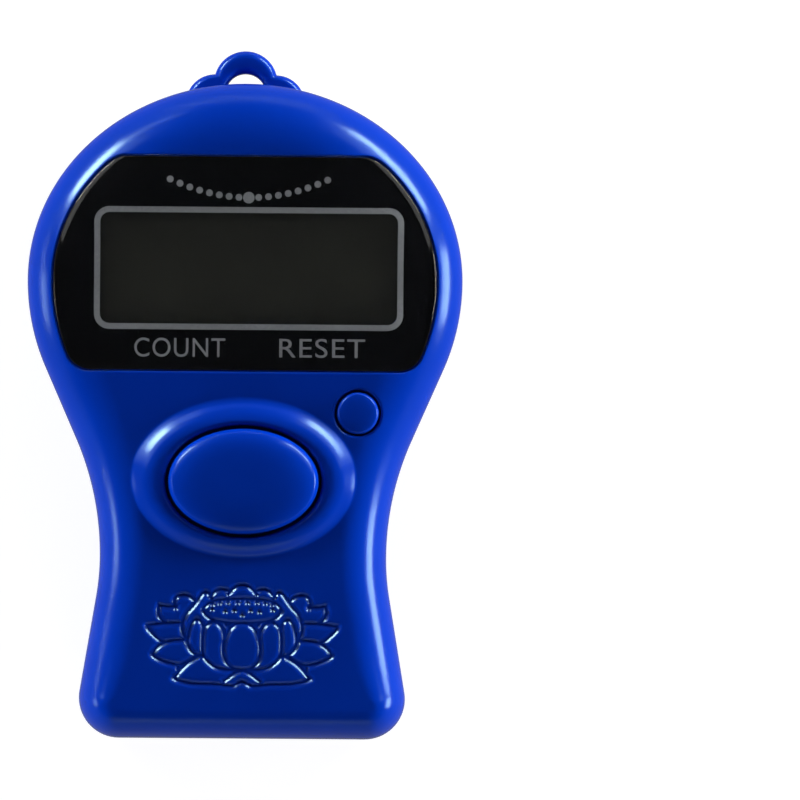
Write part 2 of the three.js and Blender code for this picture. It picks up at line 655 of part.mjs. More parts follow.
BOARD_SCREWS.forEach(([x, y], i) => {
  const { headR, headT, shaftR, tip } = BOARD_SCREW;
  add(`board_screw_${i + 1}`, screw(x, y, headR, BOARD.low - headT, BOARD.low, shaftR, tip), finish.steel);
});
CASE_SCREWS.forEach(([x, y], i) => {
  const { headR, low, seat, shaftR, tip } = CASE_SCREW;
  add(`case_screw_${i + 1}`, screw(x, y, headR, low, seat, shaftR, tip), finish.steel);
});
const { headR, low, seat, shaftR, tip } = DOOR_SCREW;
add('door_screw', screw(0, DOOR_SCREW.y, headR, low, seat, shaftR, tip), finish.steel);

export default counter;
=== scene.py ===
import math

import bmesh
import bpy
import numpy as np
from mathutils.geometry import delaunay_2d_cdt
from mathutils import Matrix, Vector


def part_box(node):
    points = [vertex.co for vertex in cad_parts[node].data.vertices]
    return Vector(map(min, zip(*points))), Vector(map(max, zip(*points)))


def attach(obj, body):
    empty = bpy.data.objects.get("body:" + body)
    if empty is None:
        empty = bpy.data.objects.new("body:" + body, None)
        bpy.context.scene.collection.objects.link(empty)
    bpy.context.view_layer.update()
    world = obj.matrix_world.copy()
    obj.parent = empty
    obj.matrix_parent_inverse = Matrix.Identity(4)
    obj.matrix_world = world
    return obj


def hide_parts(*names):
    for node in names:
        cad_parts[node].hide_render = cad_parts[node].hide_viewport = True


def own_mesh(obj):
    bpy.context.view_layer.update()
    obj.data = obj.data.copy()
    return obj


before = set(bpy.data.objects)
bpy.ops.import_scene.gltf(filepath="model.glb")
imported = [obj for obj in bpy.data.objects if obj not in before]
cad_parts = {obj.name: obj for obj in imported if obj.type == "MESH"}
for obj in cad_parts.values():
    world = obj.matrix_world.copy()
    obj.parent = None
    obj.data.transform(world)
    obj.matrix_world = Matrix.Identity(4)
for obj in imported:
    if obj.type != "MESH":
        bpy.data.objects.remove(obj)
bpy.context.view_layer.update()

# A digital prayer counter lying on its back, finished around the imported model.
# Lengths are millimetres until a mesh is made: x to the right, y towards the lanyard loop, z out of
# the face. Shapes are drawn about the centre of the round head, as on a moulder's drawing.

MM = 0.001


def node_box(node):
    """Lowest and highest corner of a frame node, in millimetres."""
    low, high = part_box(node)
    return np.array(low) / MM, np.array(high) / MM


# Places read from the frame
FRONT_LOW, FRONT_HIGH = node_box("front_shell")
HEAD_R = FRONT_HIGH[0]
CROWN = 18.6
HEAD_Y = FRONT_HIGH[1] - CROWN
BASE = FRONT_LOW[1] - HEAD_Y

# Case outline, as in the construction model
SHOULDER = math.radians(23.58)
WAIST = {"y": -26.0, "half": 13.5, "upper_r": 27.4, "lower_r": 22.7}
FLARE = math.radians(9.65)
CORNER = {"x": 11.57, "r": 3.8}

# Case section
PARTING = 5.5
FACE = 12.5
ROLL_Z = 7.9
BACK_ROLL_Z = 3.2
BACK_ROLL = 3.0
HEAD_ROLL = 6.0
GRIP_ROLL = 4.3
BASE_ROLL = 2.8
WALL = 1.5
WINDOW_WALL_Z = 10.1  # underside of the wall below the window
PARTING_R = 0.14  # round on both shells where they meet
LIP = {"outer": 1.05, "inner": 1.9, "top": 6.4, "fit": 0.3}
SIDE_SHARE = 0.25  # share of the roll's width that belongs to the plain side; openings lie further in
BACK_FLOOR = 3.0

# Window, mask and sight
WINDOW = {"rx": 18.05, "ry": 15.7, "top": 11.65, "base": -8.43, "base_r": 2.4, "top_r": 0.8}
WINDOW_GAP = 0.12
WINDOW_LIP = 0.16
LENS_T = 0.8
LENS_LIP = 0.14
GLUE = 0.05
MASK_T = 0.2
SEAT_DEPTH = LENS_T + MASK_T + 2 * GLUE
SIGHT = {"x": 0.35, "y": 1.14, "width": 27.9, "height": 10.4, "r": 0.9}
APERTURE = {"x": 0.2, "y": 1.25, "width": 28.3, "height": 10.7, "r": 1.1}
FRAME_LINE = 0.57
PRINT_T = 0.02
WORDS = {"COUNT": (-10.35, -1.8), "RESET": (3.27, 11.34)}
WORD_LOW = -7.21
WORD_HIGH = -5.42
BEADS = {"x": 0.3, "y": 9.5, "half": 7.4, "sag": 1.7, "count": 17, "r": 0.32, "middle": 1.7}

# Buttons
COUNT = {"x": 0.0, "y": -18.85, "r": 7.07, "oval": 0.7, "top": 14.8}
COUNT_FLANGE_R = 8.3
PAD = {"y": -18.55, "outer": 10.72, "hole": 7.35, "oval": 0.7145, "height": 1.05, "lip": 0.6}
PAD_SIDE = {"foot": 0.1, "shelf": 0.42, "steep": 1.7}
PAD_END = {"foot": 0.32, "shelf": 0.4, "steep": 1.65}
RESET = {"x": 10.7, "y": -12.37, "r": 1.96, "oval": 1.0, "top": 12.8}
COUNT_CAP = {"crown": 1.0, "fade": 0.85, "edge": 0.4, "drop": 0.35}
RESET_CAP = {"crown": 0.22, "fade": 0.45, "edge": 0.3, "drop": 0.22}
RESET_FLANGE_R = 2.7
RESET_HOLE_R = 2.17
RESET_LIP = 0.26
FLANGE = {"low": 10.1, "top": 10.9}
COUNT_DOME = {
    "foot_r": 5.4, "web_r": 4.2, "neck_r": 2.9, "foot": 6.8, "neck": 9.0, "top": 9.9, "roof": 8.1,
}
RESET_DOME = {
    "foot_r": 2.8, "web_r": 2.3, "neck_r": 1.6, "foot": 6.7, "neck": 8.6, "top": 9.3, "roof": 7.95,
}
COUNT_HOLLOW = {"core_r": 2.2, "r": 5.9, "top": 13.45}  # underside of the count button
RESET_CORE_R = 1.2
DOME_ROUND = {"foot": 0.2, "top": 0.15}
WEB_T = 0.5
BOARD_TOP = 6.2

# Back
CASE_SCREWS = [(0.0, 12.6), (-10.8, -36.5), (10.8, -36.5)]
CASE_SCREW = {"head_r": 1.7, "low": 1.3, "seat": 2.55, "shaft_r": 0.85, "tip": 9.5, "pitch": 0.6}
BORE = {"r": 2.0, "seat": 2.6, "hole_r": 1.15, "lip": 0.15}
DOOR = {
    "half": 7.2, "base": -10.5, "top": 8.5, "t": 1.3, "r": 1.4, "gap": 0.25, "seat": 1.55, "lip": 0.15,
}
CELL = {"x": 0.0, "y": -3.0, "hole_r": 6.4}
DOOR_SCREW = {
    "y": 6.2, "head_r": 1.5, "low": 0.15, "seat": 0.7, "shaft_r": 0.65, "tip": 3.6, "pitch": 0.5,
}
SHANK_GAP = 0.2  # free space round the door screw's head and shank
LOOP = {
    "discs": [(-0.1, 18.75, 3.0), (2.78, 16.78, 2.72), (-2.98, 16.78, 2.78)],
    "hole": (-0.1, 17.7), "hole_r": 1.9,
}
LOOP_Z = {"low": 2.2, "top": 5.2, "edge": 0.75}
SCOOP_TOP = 4.4

# Lotus
LOTUS = {"y": -33.86, "half": 9.5, "low": -38.9, "high": -28.0, "pitch": 0.08}
GROOVE = {"depth": 0.26, "width": 0.27, "seed_r": 0.24}
STROKE_UNIT = 0.0939  # millimetres in one unit of the lotus drawing
FIELD_FADE = 0.2  # width over which the cut fades out at the field's border

# Meshes
FREE_GAP = 0.09  # points inside a filled patch keep this far from its edges
GUARD = 0.14  # distance from an edge to the ring of points that follows it
WELD = 0.004
SLIVER = 0.0005
LIP_ROWS = 7


# Outline of the case

def arc(cx, cy, rx, ry, start, end, spacing):
    """Points at centre + (rx cos a, ry sin a) with outward normals, a from start to just before end.
    An arc that runs backwards is hollow, so its normals point at its centre."""
    steps = max(3, round(abs(end - start) * max(rx, ry) / spacing))
    a = np.linspace(start, end, steps, endpoint=False)
    spoke = np.stack([np.cos(a) / rx, np.sin(a) / ry], 1)
    spoke /= np.linalg.norm(spoke, axis=1)[:, None]
    points = np.stack([cx + rx * np.cos(a), cy + ry * np.sin(a)], 1)
    return points, spoke if end > start else -spoke


def line(start, end, spacing):
    """Evenly spaced points from start to just before end, normals a quarter turn to the right."""
    start, end = np.array(start), np.array(end)
    length = np.linalg.norm(end - start)
    t = np.linspace(0, 1, max(2, round(length / spacing)), endpoint=False)[:, None]
    along = (end - start) / length
    return start + t * (end - start), np.tile([along[1], -along[0]], (len(t), 1))


def case_outline(spacing):
    """The whole outline, counter-clockwise: the right half from lines and arcs, then its mirror."""
    corner = np.array([CORNER["x"], BASE + CORNER["r"]])
    lean = np.array([math.cos(FLARE), math.sin(FLARE)])
    slope = np.array([math.cos(SHOULDER), -math.sin(SHOULDER)])
    upper_r, lower_r = WAIST["upper_r"], WAIST["lower_r"]
    lower = np.array([WAIST["half"] + lower_r, WAIST["y"]])
    upper = np.array([WAIST["half"] + upper_r, WAIST["y"]])
    parts = [
        line((0, BASE), (CORNER["x"], BASE), spacing),
        arc(*corner, CORNER["r"], CORNER["r"], -math.pi / 2, FLARE, spacing),
        line(corner + CORNER["r"] * lean, lower - lower_r * lean, spacing),
        arc(*lower, lower_r, lower_r, math.pi + FLARE, math.pi, spacing),
        arc(*upper, upper_r, upper_r, math.pi, math.pi - SHOULDER, spacing),
        line(upper - upper_r * slope, HEAD_R * slope, spacing),
        arc(0, 0, HEAD_R, HEAD_R, -SHOULDER, 0, spacing),
        arc(0, 0, HEAD_R, CROWN, 0, math.pi / 2, spacing),
    ]
    points = np.concatenate([p for p, _ in parts])
    normals = np.concatenate([n for _, n in parts])
    flip = np.array([-1, 1])
    points = np.concatenate([points, [[0, CROWN]], points[:0:-1] * flip])
    normals = np.concatenate([normals, [[0, 1]], normals[:0:-1] * flip])
    return points, normals


OUTLINE, OUTLINE_N = case_outline(0.36)
RULER, RULER_N = case_outline(0.08)


def smoothstep(x, low, high):
    t = np.clip((x - low) / (high - low), 0, 1)
    return t * t * (3 - 2 * t)


def roll_width(y):
    """Width of the rolled rim: wide round the head, narrow down the grip, narrowest at the base."""
    side = GRIP_ROLL + (HEAD_ROLL - GRIP_ROLL) * smoothstep(y, -22, -6)
    return BASE_ROLL + (side - BASE_ROLL) * smoothstep(y, BASE, -34)


def ceiling(y):
    """Height of the flat inside of the face: lower behind the window than over the buttons."""
    return FACE - WALL - (FACE - WALL - WINDOW_WALL_Z) * smoothstep(y, -9.7, -8.8)


def in_chunks(measure, points, size=2000):
    """A measure of many points, worked out a few thousand at a time to spare memory."""
    return np.concatenate([measure(points[i:i + size]) for i in range(0, len(points), size)])


def depth_inside(points):
    """Distance in from the outline and the y of the nearest outline point. The distance is measured
    along the normal of the nearest of the ruler's points."""
    def measure(part):
        gap = ((part[:, None] - RULER[None]) ** 2).sum(-1)
        near = gap.argmin(1)
        depth = ((RULER[near] - part) * RULER_N[near]).sum(1)
        return np.stack([depth, RULER[near, 1]], 1)
    return in_chunks(measure, points).T


def rolled(points, inset, width, top):
    """ROLL_Z plus the rise of a quarter ellipse over the roll, level further in."""
    depth, near_y = depth_inside(points)
    share = np.clip((depth - inset) / (width(near_y) - inset), 0, 1)
    return ROLL_Z + (top - ROLL_Z) * np.sqrt(1 - (1 - share) ** 2)


def face_height(points):
    return rolled(points, 0, roll_width, FACE)


def ceiling_height(points):
    return rolled(points, WALL, roll_width, ceiling(points[:, 1]))


def level(z):
    """A height that is the same everywhere."""
    return lambda points: np.full(len(points), z)


# Meshes

def lift(loop, z):
    """A loop of xy points as xyz rows, at one height or at one height each."""
    return np.column_stack([loop, np.broadcast_to(z, len(loop))])


def grid_faces(rows, columns, closed):
    """Quads of a grid whose rows are loops, or open lines where closed is False."""
    steps = columns if closed else columns - 1
    r, c = np.meshgrid(np.arange(rows - 1), np.arange(steps), indexing="ij")
    here, beside = r * columns + c, r * columns + (c + 1) % columns
    return np.stack([here, beside, beside + columns, here + columns], -1).reshape(-1, 4)


def inside(points, loop):
    """Which points lie inside a closed loop: those with an odd number of edges to their right."""
    low, high = loop, np.roll(loop, -1, axis=0)

    def measure(part):
        x, y = part[:, 0, None], part[:, 1, None]
        crosses = (low[None, :, 1] > y) != (high[None, :, 1] > y)
        rise = np.where(crosses, high[None, :, 1] - low[None, :, 1], 1)
        reach = low[None, :, 0] + (y - low[None, :, 1]) * (high[None, :, 0] - low[None, :, 0]) / rise
        return (crosses & (x < reach)).sum(1) % 2 == 1
    return in_chunks(measure, points)


def distance_to(points, loop):
    """Distance from each point to the nearest corner of a loop."""
    return in_chunks(lambda part: np.sqrt(((part[:, None] - loop[None]) ** 2).sum(-1)).min(1), points)


class Skin:
    """Grids and patches in millimetres about the head's centre, welded into one closed mesh."""

    def __init__(self):
        self.points, self.faces, self.count = [], [], 0

    def add(self, points, faces):
        self.points.append(np.asarray(points, float))
        self.faces.extend((np.asarray(faces) + self.count).tolist())
        self.count += len(points)

    def grid(self, rows, closed=True):
        """Joins each row of xyz points to the next; closed rows are loops."""
        rows = np.asarray(rows, float)
        self.add(rows.reshape(-1, 3), grid_faces(rows.shape[0], rows.shape[1], closed))

    def fill(self, outer, holes, height, rings=()):
        """Triangles between an outer loop and its holes, through the ring points that fall between."""
        loops = [outer, *holes]
        starts = np.cumsum([0] + [len(loop) for loop in loops])
        edges = np.concatenate([
            np.stack([start + np.arange(len(loop)), start + (np.arange(len(loop)) + 1) % len(loop)], 1)
            for start, loop in zip(starts, loops)
        ])
        flat = np.concatenate(loops)
        if rings:
            free = np.concatenate(rings)
            free = free[inside(free, outer) & (distance_to(free, flat) > FREE_GAP)]
            for hole in holes:
                free = free[~inside(free, hole)]
            flat = np.concatenate([flat, free])
        points, _, faces, *_ = delaunay_2d_cdt(flat.tolist(), edges.tolist(), [], 0, 1e-6)
        points, faces = np.array(points), np.array(faces)
        centre = points[faces].mean(1)
        good = inside(centre, outer)
        for hole in holes:
            good &= ~inside(centre, hole)
        self.add(lift(points, height(points)), faces[good])

    def mesh(self, name):
        """The welded mesh in metres, faces pointing outwards."""
        mesh = bpy.data.meshes.new(name)
        mesh.from_pydata((np.concatenate(self.points) + [0, HEAD_Y, 0]) * MM, [], self.faces)
        work = bmesh.new()
        work.from_mesh(mesh)
        bmesh.ops.remove_doubles(work, verts=work.verts, dist=WELD * MM)
        bmesh.ops.dissolve_degenerate(work, edges=work.edges, dist=SLIVER * MM)
        bmesh.ops.recalc_face_normals(work, faces=work.faces)
        work.to_mesh(mesh)
        work.free()
        return mesh


def piece(name, mesh, material, body, stands_for=(), sharp=35):
    """Shows a mesh: smooth but for its sharp edges, with its material and body."""
    mesh.name = name
    mesh.polygons.foreach_set("use_smooth", [True] * len(mesh.polygons))
    mesh.set_sharp_from_angle(angle=math.radians(sharp))
    mesh.materials.clear()
    mesh.materials.append(material)
    shown = bpy.data.objects.new(name, mesh)
    bpy.context.scene.collection.objects.link(shown)
    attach(shown, body)
    if stands_for:
        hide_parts(*stands_for)
    return shown


def combine(mesh, operation, tool):
    """Union or difference of two closed meshes."""
    held = bpy.data.objects.new("held", mesh)
    cutter = bpy.data.objects.new("cutter", tool)
    for thing in (held, cutter):
        bpy.context.scene.collection.objects.link(thing)
    step = held.modifiers.new("combine", "BOOLEAN")
    step.operation, step.solver, step.object = operation, "EXACT", cutter
    result = bpy.data.meshes.new_from_object(held.evaluated_get(bpy.context.evaluated_depsgraph_get()))
    for thing in (held, cutter):
        bpy.data.objects.remove(thing)
    return result


def ellipse(x, y, rx, ry, steps):
    a = np.linspace(0, 2 * np.pi, steps, endpoint=False)
    return np.stack([x + rx * np.cos(a), y + ry * np.sin(a)], 1)


def rounded_rect(x, y, width, height, r, corner_steps=10, side_steps=1):
    """Four quarter arcs joined by straight sides, counter-clockwise from the lower right corner."""
    a = np.linspace(0, np.pi / 2, corner_steps + 1)
    turns = [(1, -1, -1), (1, 1, 0), (-1, 1, 1), (-1, -1, 2)]
    corners = [
        np.array([x + sx * (width / 2 - r), y + sy * (height / 2 - r)])
        + r * np.stack([np.cos(a + turn * np.pi / 2), np.sin(a + turn * np.pi / 2)], 1)
        for sx, sy, turn in turns
    ]
    t = np.linspace(0, 1, side_steps, endpoint=False)[1:, None]
    following = corners[1:] + corners[:1]
    sides = [end[-1] + t * (start[0] - end[-1]) for end, start in zip(corners, following)]
    return np.concatenate([part for pair in zip(corners, sides) for part in pair])


def window_loop(grow):
    """The window's outline grown outwards: flat top and base, sides parallel to the head. Each stretch
    has its own fixed number of points, so that loops of different growth match point for point."""
    rx, ry, top = WINDOW["rx"] + grow, WINDOW["ry"] + grow, WINDOW["top"] + grow
    base_r, top_r = WINDOW["base_r"], WINDOW["top_r"]
    corner_y = WINDOW["base"] - grow + base_r
    corner_x = math.sqrt((rx - base_r) ** 2 - corner_y ** 2)
    lean = math.atan2(corner_y, corner_x)
    top_angle = math.asin((top - top_r) / ry)
    top_x = rx * math.sqrt(1 - (top / ry) ** 2)

    def stretch(cx, cy, sx, sy, start, end, steps):
        a = np.linspace(start, end, steps, endpoint=False)
        return np.stack([cx + sx * np.cos(a), cy + sy * np.sin(a)], 1)

    t = np.linspace(0, 1, 8, endpoint=False)[:, None]
    start = np.array([rx * math.cos(top_angle), top - top_r])
    bend, end = np.array([top_x, top]), np.array([top_x - top_r, top])
    right = np.concatenate([
        np.stack([np.linspace(0, corner_x, 40, endpoint=False), np.full(40, corner_y - base_r)], 1),
        stretch(corner_x, corner_y, base_r, base_r, -math.pi / 2, lean, 18),
        stretch(0, 0, rx, rx, lean, 0, 26),
        stretch(0, 0, rx, ry, 0, top_angle, 44),
        (1 - t) ** 2 * start + 2 * t * (1 - t) * bend + t ** 2 * end,
        np.stack([np.linspace(top_x - top_r, 0, 34, endpoint=False), np.full(34, top)], 1),
    ])
    return np.concatenate([right, [[0, top]], right[:0:-1] * np.array([-1, 1])])


def around_lip(loop_at, height, lip, up=1):
    """Rows over a rounded edge of a face that looks up, or down where up is -1. The edge is loop_at(0)
    and loop_at(d) lies a distance d back on the face; the row at angle a is loop_at(lip (1 - sin a)),
    drawn in from the face by lip (1 - cos a)."""
    rows = []
    for a in np.linspace(0, np.pi / 2, LIP_ROWS):
        loop = loop_at(lip * (1 - math.sin(a)))
        rows.append(lift(loop, height(loop) - up * lip * (1 - math.cos(a))))
    return rows


def revolve(profile, x=0.0, y=0.0, oval=1.0, steps=96):
    """Profile of radius and height pairs turned about an upright axis, drawn in along y by the oval."""
    r, z = np.array(profile, float).T
    a = np.linspace(0, 2 * np.pi, steps, endpoint=False)
    rows = np.stack([x + r[:, None] * np.cos(a), y + oval * r[:, None] * np.sin(a)], -1)
    return np.concatenate([rows, np.broadcast_to(z[:, None, None], rows.shape[:2] + (1,))], -1)


def arc_profile(r, z, radius, start, end, steps=12):
    """Radius and height pairs along an arc between two angles in degrees."""
    a = np.radians(np.linspace(start, end, steps + 1))
    return np.stack([r + radius * np.cos(a), z + radius * np.sin(a)], 1).tolist()


# Materials

def linear(hex_colour):
    """sRGB hex to linear RGBA, by the standard curve for each channel."""
    channels = [int(hex_colour[i:i + 2], 16) / 255 for i in (1, 3, 5)]
    return tuple(c / 12.92 if c <= 0.04045 else ((c + 0.055) / 1.055) ** 2.4 for c in channels) + (1.0,)


def add(tree, kind, settings=None, inputs=None, stops=()):
    """Adds a node. An input is a constant or the output socket that feeds it, and stops are the
    places and colours of a colour ramp."""
    node = tree.nodes.new("ShaderNode" + kind)
    for key, value in (settings or {}).items():
        setattr(node, key, value)
    for key, value in (inputs or {}).items():
        if isinstance(value, bpy.types.NodeSocket):
            tree.links.new(value, node.inputs[key])
        else:
            node.inputs[key].default_value = value
    for element, (place, colour) in zip(node.color_ramp.elements if stops else (), stops):
        element.position, element.color = place, linear(colour)
    return node


def per_metre(millimetres):
    """Scale of a pattern whose cells are that many millimetres across."""
    return 1 / (millimetres * MM)


def blank_material(name):
    material = bpy.data.materials.new(name)
    material.use_nodes = True
    material.node_tree.nodes.clear()
    return material, material.node_tree


def finish_material(tree, inputs):
    """Puts a Principled shader on the surface."""
    shader = add(tree, "BsdfPrincipled", inputs=inputs)
    add(tree, "OutputMaterial", inputs={"Surface": shader.outputs["BSDF"]})


def polished_abs(name, dark, light):
    """ABS dyed through and moulded against polished steel. It shows one even colour under a clear
    gloss, which the dye just below tints, with patches of fine rubbing and long faint waves where
    the wall shrank."""
    material, tree = blank_material(name)
    where = add(tree, "TexCoord").outputs["Object"]
    clouds = add(tree, "TexNoise", inputs={"Vector": where, "Scale": per_metre(7), "Detail": 3.0})
    colour = add(tree, "ValToRGB", inputs={"Fac": clouds.outputs["Fac"]},
                 stops=[(0.3, dark), (0.7, light)])
    rubs = add(tree, "TexNoise", inputs={"Vector": where, "Scale": per_metre(1.4), "Detail": 6.0})
    gloss = add(tree, "MapRange", inputs={"Value": rubs.outputs["Fac"], "To Min": 0.15, "To Max": 0.23})
    waves = add(tree, "TexNoise", inputs={"Vector": where, "Scale": per_metre(2.6), "Detail": 1.0})
    dents = add(tree, "Bump", inputs={"Height": waves.outputs["Fac"], "Distance": 0.012 * MM})
    finish_material(tree, {
        "Base Color": colour.outputs["Color"], "Roughness": gloss.outputs["Result"],
        "Normal": dents.outputs["Normal"], "IOR": 1.53, "Specular Tint": (0.5, 0.88, 1.0, 1.0),
    })
    return material


def cast_acrylic():
    """Clear cast acrylic with a polished face. It shows the print behind it under a hard, thin gloss,
    with hairline rubs that only blur the brightest reflections."""
    material, tree = blank_material("cast_acrylic_clear")
    where = add(tree, "TexCoord").outputs["Object"]
    rubs = add(tree, "TexNoise", inputs={"Vector": where, "Scale": per_metre(2), "Detail": 5.0})
    gloss = add(tree, "MapRange", inputs={"Value": rubs.outputs["Fac"], "To Min": 0.02, "To Max": 0.08})
    finish_material(tree, {
        "Base Color": linear("#F2F5F5"), "Roughness": gloss.outputs["Result"],
        "Transmission Weight": 1.0, "IOR": 1.49,
    })
    return material


def screen_ink(name, dark, light, roughness, shine=0.5):
    """Ink pressed through a printing mesh, and the display's glass and a chip's fired ceramic, which
    are as even. It shows a flat colour with a faint mottle, and little shine of its own where it is
    bonded behind acrylic."""
    material, tree = blank_material(name)
    where = add(tree, "TexCoord").outputs["Object"]
    mottle = add(tree, "TexNoise", inputs={"Vector": where, "Scale": per_metre(0.3), "Detail": 3.0})
    colour = add(tree, "ValToRGB", inputs={"Fac": mottle.outputs["Fac"]},
                 stops=[(0.3, dark), (0.7, light)])
    gloss = add(tree, "MapRange", inputs={
        "Value": mottle.outputs["Fac"], "To Min": roughness - 0.05, "To Max": roughness + 0.05,
    })
    finish_material(tree, {
        "Base Color": colour.outputs["Color"], "Roughness": gloss.outputs["Result"],
        "Specular IOR Level": shine,
    })
    return material


def polarising_film():
    """Polarising film over an unlit display. It shows a smoky olive grey, a little cloudy, with the
    fine tooth of its anti-glare coating."""
    material, tree = blank_material("polarising_film")
    where = add(tree, "TexCoord").outputs["Object"]
    clouds = add(tree, "TexNoise", inputs={"Vector": where, "Scale": per_metre(5), "Detail": 4.0})
    colour = add(tree, "ValToRGB", inputs={"Fac": clouds.outputs["Fac"]},
                 stops=[(0.25, "#232219"), (0.75, "#302F26")])
    tooth = add(tree, "TexNoise", inputs={"Vector": where, "Scale": per_metre(0.15), "Detail": 2.0})
    gloss = add(tree, "MapRange", inputs={"Value": tooth.outputs["Fac"], "To Min": 0.4, "To Max": 0.55})
    grain = add(tree, "Bump", inputs={"Height": tooth.outputs["Fac"], "Distance": 0.004 * MM})
    finish_material(tree, {
        "Base Color": colour.outputs["Color"], "Roughness": gloss.outputs["Result"],
        "Normal": grain.outputs["Normal"],
    })
    return material


def moulded_rubber(name, dark, light, roughness):
    """Elastomer, foam or resin. It shows a matt, finely grained skin."""
    material, tree = blank_material(name)
    where = add(tree, "TexCoord").outputs["Object"]
    grain = add(tree, "TexNoise", inputs={"Vector": where, "Scale": per_metre(0.25), "Detail": 4.0})
    colour = add(tree, "ValToRGB", inputs={"Fac": grain.outputs["Fac"]},
                 stops=[(0.3, dark), (0.7, light)])
    pores = add(tree, "Bump", inputs={"Height": grain.outputs["Fac"], "Distance": 0.02 * MM})
    finish_material(tree, {
        "Base Color": colour.outputs["Color"], "Roughness": roughness, "Normal": pores.outputs["Normal"],
    })
    return material


def drawn_metal(name, dark, light, roughness):
    """Plated steel, drawn or turned. It shows fine scratches that run one way and spread the
    highlight across them."""
    material, tree = blank_material(name)
    where = add(tree, "TexCoord").outputs["Object"]
    along = add(tree, "Mapping", inputs={"Vector": where, "Scale": (1.0, 12.0, 1.0)}).outputs["Vector"]
    scratch = add(tree, "TexNoise", inputs={"Vector": along, "Scale": per_metre(0.8), "Detail": 5.0})
    colour = add(tree, "ValToRGB", inputs={"Fac": scratch.outputs["Fac"]},
                 stops=[(0.2, dark), (0.8, light)])
    gloss = add(tree, "MapRange", inputs={
        "Value": scratch.outputs["Fac"], "To Min": roughness - 0.08, "To Max": roughness + 0.08,
    })
    lines = add(tree, "Bump", inputs={"Height": scratch.outputs["Fac"], "Distance": 0.004 * MM})
    finish_material(tree, {
        "Base Color": colour.outputs["Color"], "Metallic": 1.0, "Roughness": gloss.outputs["Result"],
        "Normal": lines.outputs["Normal"],
    })
    return material


BLUE = polished_abs("abs_blue_polished", "#002EA4", "#0031AA")
BUTTON_BLUE = polished_abs("abs_blue_button", "#002FA6", "#0032AC")
ACRYLIC = cast_acrylic()
BLACK_INK = screen_ink("screen_ink_black", "#05060B", "#090A13", 0.45, 0.1)
SILVER_INK = screen_ink("screen_ink_silver", "#A4A4A8", "#B2B2B6", 0.42, 0.1)
FILM = polarising_film()
CELL_GLASS = screen_ink("display_glass_ground_edge", "#3F4640", "#4C544D", 0.15)
CONDUCTIVE = moulded_rubber("carbon_silicone", "#101011", "#1B1B1C", 0.75)
SILICONE = moulded_rubber("grey_silicone", "#A2ABAD", "#B9C1C3", 0.55)
FOAM = moulded_rubber("closed_cell_foam", "#1C1C1E", "#343437", 0.95)
RESIN = moulded_rubber("black_epoxy", "#0A0A0B", "#151517", 0.3)
SOLDER_MASK = screen_ink("solder_mask_green", "#1E4A2A", "#2A5E36", 0.4)
CERAMIC = screen_ink("fired_chip_ceramic", "#8A6338", "#A87C4C", 0.6)
ZINC = drawn_metal("zinc_plated_steel", "#8C9094", "#B4B8BB", 0.35)
NICKEL = drawn_metal("nickel_plated_steel", "#A9A59B", "#CFCBC0", 0.28)


# Case

def side_rows(inset, top, shares):
    """Loops up the side and over the roll, one for each share of the quarter turn. top gives the
    height of the level surface for the y of each point."""
    width = roll_width(OUTLINE[:, 1]) - inset
    rows = []
    for a in np.asarray(shares) * math.pi / 2:
        loop = OUTLINE - OUTLINE_N * (inset + width * (1 - math.cos(a)))[:, None]
        rows.append(lift(loop, ROLL_Z + (top(loop[:, 1]) - ROLL_Z) * math.sin(a)))
    return rows


def inset_row(inset, z):
    return lift(OUTLINE - OUTLINE_N * inset, z)


def pad_at(r):
    """Oval of the pad: about its own middle at the foot, and gliding over to the button's at the hole."""
    lip_r = PAD["hole"] + PAD["lip"]
    t = min(max((PAD["outer"] - r) / (PAD["outer"] - lip_r), 0), 1)
    return ellipse(COUNT["x"], PAD["y"] + t * (COUNT["y"] - PAD["y"]), r, r * PAD["oval"], 260)


def pad_rise(t, loop):
    """Height of the raised pad at t from its foot to the lip of the hole. The slope grows evenly over
    the foot, stays at its steepest up to the shelf and then changes evenly so that the lip is reached
    at the pad's height. The section glides from the side's to the end's with the square of how far
    the oval's point lies towards its top or base."""
    def share(foot, shelf, steep):
        last = 2 * (1 - steep * (shelf - foot / 2)) / (1 - shelf) - steep
        over = max(t - shelf, 0)
        return (steep * (min(t, foot) ** 2 / (2 * foot) + max(min(t, shelf) - foot, 0))
                + steep * over + (last - steep) * over ** 2 / (2 * (1 - shelf)))
    y = loop[:, 1] - loop[:, 1].mean()
    end = (y / y.max()) ** 2
    return PAD["height"] * ((1 - end) * share(**PAD_SIDE) + end * share(**PAD_END))


